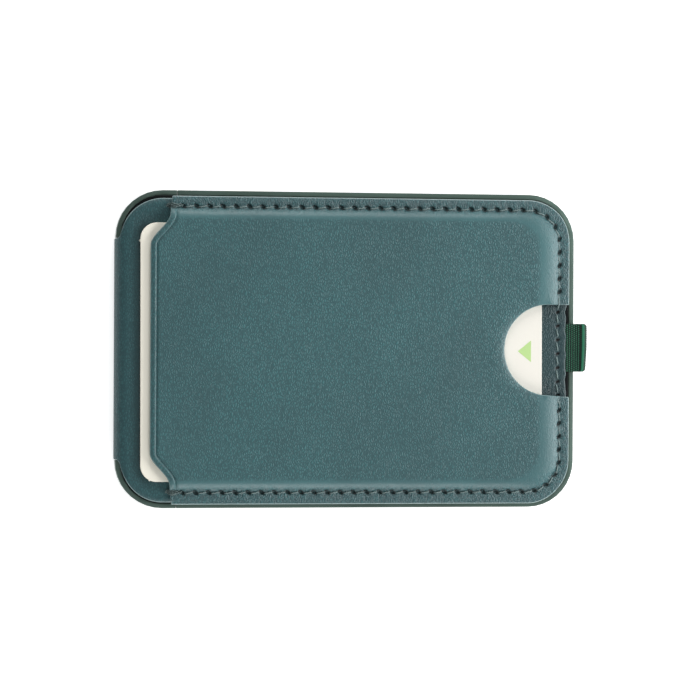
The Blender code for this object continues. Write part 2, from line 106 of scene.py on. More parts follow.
def corner_arcs(left: float, right: float, side: float, radius: float) -> list[Array]:
    """The corners of a rectangle that is as far to +Y as to -Y.

    Args:
        left: its lowest X.
        right: its highest X.
        side: half its width.
        radius: its corners' radius.

    Returns:
        Four arcs, anticlockwise from the one at +X and -Y.
    """
    near, far, y = left + radius, right - radius, side - radius
    places = ((far, -y), (far, y), (near, y), (near, -y))
    return [arc(place, radius, 90 * turn, 90 * turn + 90) for place, turn in zip(places, (-1, 0, 1, 2))]


def densify(loop: Array, step: float) -> Array:
    """Adds points on a closed loop's sides, evenly.

    Args:
        loop: the loop's points.
        step: the longest that a side may be.

    Returns:
        The loop with the added points.
    """
    side = np.roll(loop, -1, axis=0) - loop
    count = np.maximum(1, np.ceil(np.linalg.norm(side, axis=1) / step).astype(int))
    which = np.repeat(np.arange(len(loop)), count)
    share = (np.arange(len(which)) - np.repeat(np.cumsum(count) - count, count)) / count[which]
    return loop[which] + side[which] * share[:, None]


def by_chunks(work: Callable[[Array], Array], points: Array) -> Array:
    """Runs an all-against-all sum on a few thousand points at a time, to bound its memory."""
    return np.concatenate([work(part) for part in np.array_split(points, 1 + len(points) // 3000)])


def distance_to(points: Array, line: Array, closed: bool = False) -> Array:
    """Each point's distance from a polyline: to the nearest spot on the nearest segment.

    Args:
        points: plan points.
        line: the polyline's points.
        closed: whether its last point joins its first.

    Returns:
        One distance a point.
    """
    start = line if closed else line[:-1]
    run = (np.roll(line, -1, axis=0) if closed else line[1:]) - start
    square = np.maximum((run**2).sum(1), 1e-12)

    def nearest(part: Array) -> Array:
        """The smallest distance to any segment, at the nearest spot within its ends.

        Args:
            part: some of the points.

        Returns:
            One distance a point.
        """
        off = part[:, None] - start
        share = np.clip((off * run).sum(2) / square, 0, 1)
        return np.sqrt(((off - share[..., None] * run) ** 2).sum(2).min(1))

    return by_chunks(nearest, points)


def inside(points: Array, loop: Array) -> Array:
    """Whether each point lies in a closed loop: a ray to +X crosses it an odd number of times.

    Args:
        points: plan points.
        loop: the loop's points.

    Returns:
        One truth value a point.
    """
    ahead = np.roll(loop, -1, axis=0)
    rise = ahead[:, 1] - loop[:, 1]
    slope = (ahead[:, 0] - loop[:, 0]) / np.where(rise == 0, 1, rise)

    def odd(part: Array) -> Array:
        """Whether an odd number of sides lie to the right, at the point's own height.

        Args:
            part: some of the points.

        Returns:
            One truth value a point.
        """
        x, y = part[:, :1], part[:, 1:]
        crosses = (loop[:, 1] > y) != (ahead[:, 1] > y)
        return (crosses & (x < loop[:, 0] + (y - loop[:, 1]) * slope)).sum(1) % 2 == 1

    return by_chunks(odd, points)


def inset(loop: Array, depth: float) -> Array:
    """Moves an anticlockwise loop's points inwards, square to the chord of their neighbours.

    Args:
        loop: the loop's points.
        depth: how far they move.

    Returns:
        The moved points.
    """
    chord = np.roll(loop, -1, axis=0) - np.roll(loop, 1, axis=0)
    normal = np.stack([-chord[:, 1], chord[:, 0]], axis=1) / np.linalg.norm(chord, axis=1)[:, None]
    return loop + depth * normal


def corner_distance(x: Array, y: Array, end: float, side: float, radius: float) -> Array:
    """How far outside a round-cornered band a point is: the band runs to -X without end.

    The distance is the usual one of a rounded rectangle: past the corner circle's centre it is
    measured from that circle, and elsewhere from the nearer straight side.

    Args:
        x: the points' X.
        y: their Y.
        end: where the band ends in +X.
        side: half its width.
        radius: its corners' radius.

    Returns:
        One distance a point, negative inside.
    """
    over_x = x - (end - radius)
    over_y = np.abs(y) - (side - radius)
    past = np.hypot(np.maximum(over_x, 0), np.maximum(over_y, 0))
    return past + np.minimum(np.maximum(over_x, over_y), 0) - radius


def graded(low: float, high: float, fine: float, coarse: float, margin: float) -> Array:
    """Grid lines between two ends: finely spaced near each end, and coarsely between.

    Args:
        low: the first line.
        high: the last line.
        fine: the fine spacing.
        coarse: the coarse spacing.
        margin: how far the fine spacing reaches from each end.

    Returns:
        The lines' places.
    """
    ends = np.arange(0, margin, fine)
    middle = np.linspace(low + margin, high - margin, max(2, round((high - low - 2 * margin) / coarse)))
    return np.concatenate([low + ends, middle, high - ends[::-1]])


# ---------------------------------------------------------------- meshes


def make_piece(name: str, points: Array, faces: list, smooth_angle: float = 40.0) -> Object:
    """Makes an object from points in millimetres.

    Args:
        name: the piece's name.
        points: one row of x, y and z a vertex.
        faces: each face's vertex numbers.
        smooth_angle: edges sharper than this many degrees stay sharp.

    Returns:
        The object, at the origin, with its doubles merged and its faces pointing out.
    """
    mesh = bpy.data.meshes.new(name)
    mesh.from_pydata((points * MM).tolist(), [], faces)
    work = bmesh.new()
    work.from_mesh(mesh)
    bmesh.ops.remove_doubles(work, verts=work.verts, dist=1e-7)
    bmesh.ops.dissolve_degenerate(work, edges=work.edges, dist=1e-8)
    bmesh.ops.recalc_face_normals(work, faces=work.faces)
    work.to_mesh(mesh)
    work.free()
    mesh.shade_smooth()
    mesh.set_sharp_from_angle(angle=math.radians(smooth_angle))
    obj = bpy.data.objects.new(name, mesh)
    bpy.context.scene.collection.objects.link(obj)
    return obj


def grid_faces(rings: int, sides: int) -> Array:
    """The quads between closed rings of vertices.

    Args:
        rings: how many rings there are.
        sides: how many vertices each ring has.

    Returns:
        Four vertex numbers a quad.
    """
    ring = np.arange(rings - 1)[:, None] * sides
    side = np.arange(sides)[None]
    beside = (side + 1) % sides
    quads = [ring + side, ring + beside, ring + sides + beside, ring + sides + side]
    return np.stack(quads, axis=-1).reshape(-1, 4)


def set_field(obj: Object, name: str, values: Array) -> None:
    """Stores one number a vertex under a name that a material can read."""
    layer = obj.data.attributes.new(name, "FLOAT", "POINT")
    layer.data.foreach_set("value", values.astype(np.float32))


def vertices_mm(obj: Object) -> Array:
    """Reads a piece's vertices.

    Args:
        obj: the piece.

    Returns:
        One row of x, y and z a vertex, in millimetres.
    """
    flat = np.zeros(len(obj.data.vertices) * 3, np.float32)
    obj.data.vertices.foreach_get("co", flat)
    return flat.reshape(-1, 3).astype(float) / MM


def tube(name: str, path: Array, radius: Array, sides: int = 10) -> Object:
    """A closed tube: a circle of points carried along a path, square to it.

    Args:
        name: the piece's name.
        path: its centreline, one row a ring.
        radius: a radius for each ring and side, or one that fits that shape.
        sides: points round each ring.

    Returns:
        The object.
    """
    along = np.gradient(path, axis=0)
    along /= np.linalg.norm(along, axis=1)[:, None]
    aside = np.cross(along, [0.0, 0.0, 1.0])
    aside /= np.linalg.norm(aside, axis=1)[:, None]
    over = np.cross(aside, along)
    turn = np.arange(sides) * 2 * math.pi / sides
    around = aside[:, None] * np.cos(turn)[:, None] + over[:, None] * np.sin(turn)[:, None]
    rings = path[:, None] + around * np.broadcast_to(radius, (len(path), sides))[..., None]
    last = (len(path) - 1) * sides
    faces = grid_faces(len(path), sides).tolist()
    faces += [list(range(sides)), list(range(last, last + sides))]
    return make_piece(name, rings.reshape(-1, 3), faces, 80)


@dataclass
class TrimmedSheet:
    """A closed sheet cut to a plan outline, with round cut edges.

    The plan is a constrained Delaunay net over the outline, rings that follow it, and a grid. The
    upper and lower faces are that net at the heights that two functions give.
    """

    outline: Array
    lines_x: Array
    lines_y: Array
    edge_radius: float
    rings: tuple[float, ...] = (0.04, 0.12, 0.22, 0.35, 0.6)
    extra: list[Array] = field(default_factory=list)
    clear: float = 0.75  # the grid keeps this far inside the outline

    def net(self) -> tuple[Array, Array]:
        """Lays out the plan.

        Returns:
            Its points, and three point numbers a triangle.
        """
        grid = np.stack(np.meshgrid(self.lines_x, self.lines_y), axis=-1).reshape(-1, 2)
        loose = [grid] + self.extra
        depths = [self.clear] * len(loose)
        for ring in self.rings:
            loose.append(inset(self.outline, ring))
            depths.append(0.9 * ring)
        kept = [self.outline]
        for points, depth in zip(loose, depths):
            within = points[inside(points, self.outline)]
            kept.append(within[distance_to(within, self.outline, closed=True) >= depth])
        points = np.concatenate(kept)
        count = len(self.outline)
        edges = [(i, (i + 1) % count) for i in range(count)]
        plan, _, triangles, *_ = delaunay_2d_cdt(points.tolist(), edges, [], 1, 1e-4)
        return np.array([tuple(p) for p in plan]), np.array(triangles)

    def build(
        self,
        name: str,
        upper: Callable[[Array], Array],
        lower: Callable[[Array], Array],
        place: Callable[[Array], Array] | None = None,
    ) -> Object:
        """Builds the sheet.

        Args:
            name: the piece's name.
            upper: gives the upper face's height at plan points.
            lower: gives the lower face's height.
            place: moves the flat sheet's points to where they belong, or None.

        Returns:
            The object.
        """
        plan, triangles = self.net()
        depth = distance_to(plan, self.outline, closed=True)
        reach = np.maximum(self.edge_radius - depth, 0)
        fall = self.edge_radius - np.sqrt(np.maximum(self.edge_radius**2 - reach**2, 0))
        top = np.column_stack([plan, upper(plan) - fall])
        bottom = np.column_stack([plan, lower(plan) + fall])
        count = len(plan)
        sides = np.concatenate([triangles[:, [0, 1]], triangles[:, [1, 2]], triangles[:, [2, 0]]])
        # A side that only one triangle has is on the rim.
        _, first, uses = np.unique(np.sort(sides, axis=1), axis=0, return_index=True, return_counts=True)
        rim = sides[first[uses == 1]]
        wall = np.stack([rim[:, 1], rim[:, 0], rim[:, 0] + count, rim[:, 1] + count], axis=1)
        faces = triangles.tolist() + (triangles[:, ::-1] + count).tolist() + wall.tolist()
        points = np.concatenate([top, bottom])
        return make_piece(name, points if place is None else place(points), faces, 60)


# ---------------------------------------------------------------- finishes


def linear(code: str) -> tuple[float, float, float, float]:
    """Turns an sRGB hex colour into linear values, by the sRGB curve."""
    values = [int(code[i : i + 2], 16) / 255 for i in (1, 3, 5)]
    return (*[v / 12.92 if v <= 0.04045 else ((v + 0.055) / 1.055) ** 2.4 for v in values], 1.0)


def darker(code: str, share: float) -> tuple[float, ...]:
    """Returns a share of a hex colour's linear values."""
    return (*[share * value for value in linear(code)[:3]], 1.0)


def add_node(tree: NodeTree, kind: str, inputs: dict | None = None, **settings) -> Node:
    """Adds one node.

    Args:
        tree: the material's node tree.
        kind: the node's type.
        inputs: for each input, a value, or the socket that it is linked to.
        settings: the node's own properties.

    Returns:
        The node.
    """
    node = tree.nodes.new(kind)
    for key, value in settings.items():
        setattr(node, key, value)
    for key, value in (inputs or {}).items():
        if isinstance(value, NodeSocket):
            tree.links.new(value, node.inputs[key])
        else:
            node.inputs[key].default_value = value
    return node


def new_material(name: str, **shader: object) -> tuple[Material, NodeTree, Node]:
    """Makes a material with only a Principled shader.

    Args:
        name: the material's name.
        shader: values for the shader's inputs, by their names.

    Returns:
        The material, its node tree and its shader.
    """
    material = bpy.data.materials.new(name)
    material.use_nodes = True
    tree = material.node_tree
    bsdf = tree.nodes["Principled BSDF"]
    for key, value in shader.items():
        bsdf.inputs[key.replace("_", " ")].default_value = value
    return material, tree, bsdf


def dress(obj: Object, material: Material) -> None:
    """Gives a piece one material in place of any it has."""
    obj.data.materials.clear()
    obj.data.materials.append(material)


def ramp(tree: NodeTree, factor: NodeSocket, low: float, high: float) -> NodeSocket:
    """Adds a clamped step: 0 where the factor is low, 1 where it is high."""
    ends = {"Value": factor, "From Min": low, "From Max": high}
    return add_node(tree, "ShaderNodeMapRange", ends, interpolation_type="SMOOTHSTEP").outputs["Result"]


def math_node(tree: NodeTree, operation: str, *values: object) -> NodeSocket:
    """Adds one sum on sockets and numbers."""
    node = add_node(tree, "ShaderNodeMath", dict(enumerate(values)), operation=operation)
    return node.outputs[0]


def mix_colour(tree: NodeTree, factor: object, first: object, second: object) -> NodeSocket:
    """Adds a mix of two colours."""
    node = add_node(tree, "ShaderNodeMix", {0: factor, 6: first, 7: second}, data_type="RGBA")
    return node.outputs[2]


def toward(tree: NodeTree, tone: object, colour: object, amount: NodeSocket, share: float) -> NodeSocket:
    """Mixes a tone towards a colour, by a share of an amount that varies over the piece.

    Args:
        tree: the material's node tree.
        tone: the tone to start from.
        colour: the colour at full amount and share.
        amount: how much of the colour shows, place by place.
        share: the most that it may be.

    Returns:
        The mix.
    """
    return mix_colour(tree, math_node(tree, "MULTIPLY", amount, share), tone, colour)


def object_space(tree: NodeTree) -> NodeSocket:
    """Adds the piece's own coordinates."""
    return add_node(tree, "ShaderNodeTexCoord").outputs["Object"]


def vertex_field(tree: NodeTree, name: str) -> NodeSocket:
    """Adds a field that set_field has stored: 0 on a piece that does not have it."""
    return add_node(tree, "ShaderNodeAttribute", attribute_name=name).outputs["Fac"]


def noise(
    tree: NodeTree, where: NodeSocket, scale: float, detail: float = 2.0, distortion: float = 0.0
) -> NodeSocket:
    """Adds a cloud noise.

    Args:
        tree: the material's node tree.
        where: the coordinates that it is laid on.
        scale: how many clouds there are in one unit of them.
        detail: how many finer octaves it has.
        distortion: how far it is bent by itself.

    Returns:
        Its value.
    """
    inputs = {"Vector": where, "Scale": scale, "Detail": detail, "Distortion": distortion}
    return add_node(tree, "ShaderNodeTexNoise", inputs).outputs["Fac"]


def finish_surface(
    tree: NodeTree,
    bsdf: Node,
    tone: NodeSocket,
    height: NodeSocket,
    strength: float,
    distance: float,
) -> None:
    """Leads a colour and a relief into the shader.

    Args:
        tree: the material's node tree.
        bsdf: its shader.
        tone: the colour.
        height: the relief.
        strength: how much of the relief shows.
        distance: the relief's full height, in metres.
    """
    bump = add_node(tree, "ShaderNodeBump", {"Height": height, "Strength": strength, "Distance": distance})
    tree.links.new(tone, bsdf.inputs["Base Color"])
    tree.links.new(bump.outputs[0], bsdf.inputs["Normal"])


@dataclass(frozen=True)
class GrainedLeather:
    """Corrected-grain calf leather, dyed through and plated with a fine pebble.

    The pebbles are about half a millimetre, drawn out aslant, as the plating press leaves them.
    Fields of the piece say where it differs: crumple is how far stitches pull it into folds, whose
    troughs are darkened as painted shade, taut how far moulding has pressed its pebbles flat, shade
    where painted shade darkens it, in recesses and beside the card, an edge field where a painted
    highlight lies on the cut edge's upper rounding, and pit where a needle has gone through, painted
    near black as the shade in the hole.
    """

    name: str
    face: str
    valley: str
    # the colour of the painted highlight on the cut edge's upper rounding
    edge: str
    grain: float = 1.0
    roughness: float = 0.5
    gloss: float = 0.9
    # the colour of the painted shade
    shade: str = "#11282C"
    # near black: the painted shade in a needle hole
    hole: tuple[float, ...] = (0.002, 0.005, 0.006, 1.0)  # linear values

    def material(self) -> Material:
        """Builds the material: pebbles, less where taut, plus 9 times the folds give its relief.

        Its colour is mixed towards the valley's where that relief is low, and as painted shade in the
        troughs of the folds, then towards the painted shade, the painted highlight on the cut edge and
        the near-black painted shade of the needle hole, each by its own field.

        Returns:
            The material.
        """
        material, tree, bsdf = new_material(self.name, Roughness=self.roughness, Specular_IOR_Level=self.gloss)
        where = object_space(tree)
        # Turned first and squeezed second, so the cells are long and lean. One unit is about 1 mm.
        turned = add_node(tree, "ShaderNodeMapping", {"Vector": where, "Rotation": (0, 0, 0.22)}).outputs[0]
        scaled = add_node(tree, "ShaderNodeMapping", {"Vector": turned, "Scale": (1450, 760, 1000)}).outputs[0]
        bent = add_node(tree, "ShaderNodeTexNoise", {"Vector": scaled, "Scale": 0.9, "Detail": 1.0}).outputs["Color"]
        swayed = add_node(
            tree, "ShaderNodeVectorMath", {0: bent, 1: (0.7, 0.7, 0.0), 2: scaled}, operation="MULTIPLY_ADD"
        ).outputs[0]
        pebble = add_node(
            tree, "ShaderNodeTexVoronoi", {"Vector": swayed, "Scale": 1.75}, feature="DISTANCE_TO_EDGE"
        ).outputs["Distance"]
        pore = noise(tree, swayed, 3.4)
        cloud = noise(tree, scaled, 0.05, 3.0)
        crease = noise(tree, scaled, 0.95, 4.0, 2.2)
        soft = vertex_field(tree, "crumple")
        taut = vertex_field(tree, "taut")
        loose = math_node(tree, "SUBTRACT", 1.0, taut)
        height = math_node(tree, "MULTIPLY_ADD", pore, 0.5, ramp(tree, pebble, 0.0, 0.42))
        folds = math_node(tree, "MULTIPLY", math_node(tree, "MULTIPLY", crease, soft), 9.0)
        raised = math_node(tree, "MULTIPLY_ADD", height, loose, folds)
        lowness = math_node(tree, "MULTIPLY", ramp(tree, height, 0.85, 0.25), loose)
        valley = linear(self.valley)
        tone = toward(tree, linear(self.face), valley, lowness, 0.62 * self.grain)
        # Painted shade: the troughs of the folds are darkened towards the valley colour.
        pulled = math_node(tree, "MULTIPLY", ramp(tree, crease, 0.62, 0.36), soft)
        tone = toward(tree, tone, valley, pulled, 0.75)
        tone = toward(tree, tone, valley, ramp(tree, cloud, 0.35, 0.75), 0.3)
        # Painted shade, where the field shade says.
        tone = toward(tree, tone, linear(self.shade), vertex_field(tree, "shade"), 0.62)
        # Painted highlight along the cut edge's upper rounding.
        tone = mix_colour(tree, vertex_field(tree, "cut_edge_highlight"), tone, linear(self.edge))
        # Painted shade: the needle holes near black.
        hole = ramp(tree, vertex_field(tree, "pit"), 0.05, 0.6)
        tone = mix_colour(tree, hole, tone, self.hole)
        finish_surface(tree, bsdf, tone, raised, 0.6 * self.grain, 0.000062)
        return material


@dataclass(frozen=True)
class MouldedPolymer:
    """Glass-filled nylon, injection moulded in a spark-eroded tool, which leaves a fine satin."""

    name: str
    colour: str

    def material(self) -> Material:
        """Builds the material: grit of a fifth of a millimetre, drawn coarse enough to show.

        Returns:
            The material.
        """
        material, tree, bsdf = new_material(self.name, Roughness=0.42, Specular_IOR_Level=0.5)
        where = object_space(tree)
        grit = noise(tree, where, 4800.0)
        cloud = noise(tree, where, 60.0)
        dark = darker(self.colour, 0.72)
        tone = mix_colour(tree, ramp(tree, cloud, 0.3, 0.75), linear(self.colour), dark)
        finish_surface(tree, bsdf, tone, grit, 0.25, 0.00005)
        return material


@dataclass(frozen=True)
class Microfibre:
    """Brushed polyester microfibre, with a short nap that catches light at its edges."""

    name: str
    colour: str

    def material(self) -> Material:
        """Builds the material: a nap of fine noise over a cloudy brushed shade.

        Returns:
            The material.
        """
        material, tree, bsdf = new_material(
            self.name, Roughness=0.95, Specular_IOR_Level=0.1, Sheen_Weight=0.25, Sheen_Roughness=0.5
        )
        where = object_space(tree)
        nap = noise(tree, where, 3200.0, 3.0)
        brushed = noise(tree, where, 90.0, 4.0)
        dark = darker(self.colour, 0.6)
        tone = toward(tree, linear(self.colour), dark, ramp(tree, brushed, 0.35, 0.7), 0.6)
        tone = toward(tree, tone, dark, nap, 0.35)
        finish_surface(tree, bsdf, tone, nap, 0.5, 0.0001)
        return material


@dataclass(frozen=True)
class SpunYarn:
    """Dyed polyester yarn, matt, with a little fuzz between its plies."""

    name: str
    colour: str
    shade: str

    def material(self) -> Material:
        """Builds the material: the field ply paints shade into the furrows between plies or ribs, and into thread that
        dives into a hole.

        Returns:
            The material.
        """
        material, tree, bsdf = new_material(
            self.name, Roughness=0.6, Specular_IOR_Level=0.25, Sheen_Weight=0.03, Sheen_Roughness=0.4
        )
        where = object_space(tree)
        fuzz = noise(tree, where, 5200.0)
        furrow = vertex_field(tree, "ply")
        tone = mix_colour(tree, furrow, linear(self.colour), linear(self.shade))
        tone = toward(tree, tone, linear(self.shade), fuzz, 0.3)
        finish_surface(tree, bsdf, tone, fuzz, 0.4, 0.00006)
        return material


@dataclass(frozen=True)
class Board:
    """Uncoated paperboard or pressed fibre board, calendered smooth.

    Where a field of the piece says so, its colour is mixed towards a second colour, as painted shade.
    """

    name: str
    colour: str
    fibre: str
    # the second colour: painted shade on the card, and the board's own colour on the fibre board
    printed: str
    strength: float = 0.12

    def material(self) -> Material:
        """Builds the material: faint fibres, under painted shade where the field asks for it.

        Returns:
            The material.
        """
        material, tree, bsdf = new_material(self.name, Roughness=0.62, Specular_IOR_Level=0.3)
        where = object_space(tree)
        fibres = noise(tree, where, 1500.0, 4.0, 1.0)
        tone = toward(tree, linear(self.colour), linear(self.fibre), fibres, self.strength)
        # Painted shade, by the field that the card sets.
        painted_shade_ramp = vertex_field(tree, "painted_shade_ramp")
        tone = mix_colour(tree, painted_shade_ramp, tone, linear(self.printed))
        finish_surface(tree, bsdf, tone, fibres, 0.08, 0.00005)
        return material


@dataclass(frozen=True)
class Plate:
    """Plated or rolled metal sheet, with faint drawing lines."""

    name: str
    colour: str
    roughness: float

    def material(self) -> Material:
        """Builds the material: lines along X vary its roughness.

        Returns:
            The material.
        """
        material, tree, bsdf = new_material(self.name, Metallic=1.0)
        where = object_space(tree)
        drawn = add_node(tree, "ShaderNodeMapping", {"Vector": where, "Scale": (60, 2400, 2400)}).outputs[0]
        lines = noise(tree, drawn, 1.0, 3.0)
        rough = math_node(tree, "MULTIPLY_ADD", lines, 0.2, self.roughness - 0.1)
        tree.links.new(rough, bsdf.inputs["Roughness"])
        dark = darker(self.colour, 0.85)
        tree.links.new(mix_colour(tree, lines, linear(self.colour), dark), bsdf.inputs["Base Color"])
        return material


class Finish(Enum):
    """The finishes that the holder is made in."""

    MOULDED_LEATHER = GrainedLeather("moulded_calf", "#296266", "#183D42", "#B4CACA")
    # The same calf as the front, made darker: painted shade for the rear leather, which lies low beside the pocket and
    # round the spine.
    FLAT_LEATHER = GrainedLeather("flat_calf", "#29585C", "#183A3F", "#9DB5B6", gloss=0.6)
    BACK_LEATHER = GrainedLeather("back_calf", "#26535A", "#193A40", "#5B7577", grain=0.7)
    POLYMER = MouldedPolymer("moulded_nylon", "#536A61")
    # Black microfibre, made this dark also as painted shade for the gap between the frame's rim and the leather's
    # edge.
    LINING = Microfibre("brushed_microfibre", "#101718")
    # Its second colour is painted shade, in the furrows between plies and where the thread dives into a hole.
    THREAD = SpunYarn("bonded_thread", "#8FA3A2", "#2C3D3E")
    # Its near-black second colour is painted shade in the furrows between ribs and weft beads.
    RIBBON = SpunYarn("grosgrain_yarn", "#327F60", "#020A07")
    # The card's last colour is painted shade, darkening it towards the thumb notch, where the right-hand box lights it
    # most.
    CARD = Board("card_stock", "#F8F4E6", "#ECE8D9", "#E9E6DD")
    FIBRE = Board("fibre_board", "#8C7C66", "#6B5D4B", "#8C7C66", 0.5)
    NICKEL = Plate("nickel_plate", "#BDBAB3", 0.28)
    STEEL = Plate("rolled_steel", "#9FA1A3", 0.38)
    FOIL = Plate("aluminium_foil", "#D5D6D8", 0.25)


MADE: dict[Finish, Material] = {}


def finish(choice: Finish) -> Material:
    """Gives a finish's material, made the first time that it is asked for.

    Args:
        choice: the finish.

    Returns:
        Its material.
    """
    if choice not in MADE:
        MADE[choice] = choice.value.material()
    return MADE[choice]


# ---------------------------------------------------------------- seams


@dataclass
class Seam:
    """A row of stitches: its plan path, and the needle holes along it.

    The path is kept as its given points, and a place along it is read by interpolation over their measured distances.
    """

    path: Array
    pitch: float = 2.77
    first: float = 1.75  # from the path's start to the first hole
    slant: float = -35.0  # each needle slit's angle to the seam, in degrees
    slit: float = 0.64  # half the slit's length
    slit_width: float = 0.38  # half its width
    ring: float = 0.06  # between the thread's rings
    dive_length: float = 0.62  # how far from a hole the thread starts to dive
    dive_depth: float = 0.55
    sway: float = 0.1  # how far it crosses to each side, and how far the seam pulls it aside
    lay: float = 1.3  # along the thread, one turn of its plies

    def __post_init__(self) -> None:
        """Measures the path."""
        step = np.linalg.norm(np.diff(self.path, axis=0), axis=1)
        self.along = np.concatenate([[0], np.cumsum(step)])

    def at(self, distance: Array) -> Array:
        """Returns the plan points at distances along the path."""
        return np.stack([np.interp(distance, self.along, self.path[:, k]) for k in range(2)], axis=1)

    def holes(self) -> Array:
        """Returns the distances of the needle holes along the path."""
        return np.arange(self.first, self.along[-1] - 0.3, self.pitch)

    def slits(self) -> tuple[Array, Array]:
        """Finds the needle slits.

        Returns:
            Each slit's middle, and its angle: the seam's own and the slant.
        """
        holes = self.holes()
        run = self.at(holes + 0.1) - self.at(holes - 0.1)
        return self.at(holes), np.arctan2(run[:, 1], run[:, 0]) + math.radians(self.slant)

    def local(self, points: Array) -> tuple[Array, Array]:
        """Each point's place in the frame of its nearest hole.

        Args:
            points: plan points.

        Returns:
            The places along the slit, and those across it.
        """
        centre, heading = self.slits()
        off = points[:, None] - centre
        near = (off**2).sum(2).argmin(1)
        own = off[np.arange(len(points)), near]
        cosine, sine = np.cos(heading[near]), np.sin(heading[near])
        return own[:, 0] * cosine + own[:, 1] * sine, own[:, 1] * cosine - own[:, 0] * sine

    def pits(self, points: Array) -> Array:
        """How deep in a needle hole each point is: a slanted bell, flat in its middle.

        Args:
            points: plan points.

        Returns:
            One depth a point, 0 to 1.
        """
        long, wide = self.local(points)
        reach = (long / self.slit) ** 2 + (wide / self.slit_width) ** 2
        return np.exp(-(reach**1.6))

    def pit_points(self) -> Array:
        """Extra plan points round every hole, on ellipses that follow the slit.

        Returns:
            The points.
        """
        centre, heading = self.slits()
        heading = heading[:, None, None]
        turn = (np.arange(12) * math.pi / 6)[None, None]
        size = np.array([0.001, 0.45, 0.75, 1.0, 1.3, 1.75])[None, :, None]
        long, wide = size * self.slit * np.cos(turn), size * self.slit_width * np.sin(turn)
        x = centre[:, 0, None, None] + long * np.cos(heading) - wide * np.sin(heading)
        y = centre[:, 1, None, None] + long * np.sin(heading) + wide * np.cos(heading)
        return np.stack([x, y], axis=-1).reshape(-1, 2)

    def thread(self, name: str, height: Callable[[Array], Array], radius: float = 0.14) -> Object:
        """The upper thread: a twisted cord that lies between the holes and dives into each.

        Its centreline's height is the leather's, less a bell at each hole. Between two holes it
        crosses from one side of the seam to the other. Its radius swells twice a turn, as two
        plies do, and the swelling runs round it once a lay length.

        Args:
            name: the piece's name.
            height: gives the leather's height at plan points.
            radius: the thread's radius where a ply stands out most.

        Returns:
            The object.
        """
        spots = np.arange(0, self.along[-1], self.ring)
        plan = self.at(spots)
        holes = self.holes()
        gap = spots[:, None] - holes
        nearest = gap[np.arange(len(spots)), np.abs(gap).argmin(1)]
        dive = np.exp(-((nearest / self.dive_length) ** 4))
        run = np.gradient(plan, axis=0)
        run /= np.linalg.norm(run, axis=1)[:, None]
        aside = np.stack([-run[:, 1], run[:, 0]], axis=1)
        sway = -self.sway * (np.sin(np.clip(nearest / (self.pitch / 2), -1, 1) * math.pi) + 1)
        lifted = 0.5 * radius * np.cos(np.clip(nearest / self.pitch, -0.5, 0.5) * math.pi) ** 2
        level = height(plan) + 0.75 * radius - lifted - self.dive_depth * dive
        path = np.column_stack([plan + aside * sway[:, None], level])
        turn = np.arange(10) * 2 * math.pi / 10
        ply = np.cos(turn[None] - spots[:, None] * 2 * math.pi / self.lay) ** 2
        obj = tube(name, path, radius * (0.78 + 0.25 * ply), 10)
        # Painted shade: darker in the furrows between plies, and darkest where the thread dives into a hole.
        set_field(obj, "ply", np.clip(np.clip(1 - ply, 0, 1) * 0.55 + dive[:, None], 0, 1).reshape(-1))
        return obj


# ---------------------------------------------------------------- leather


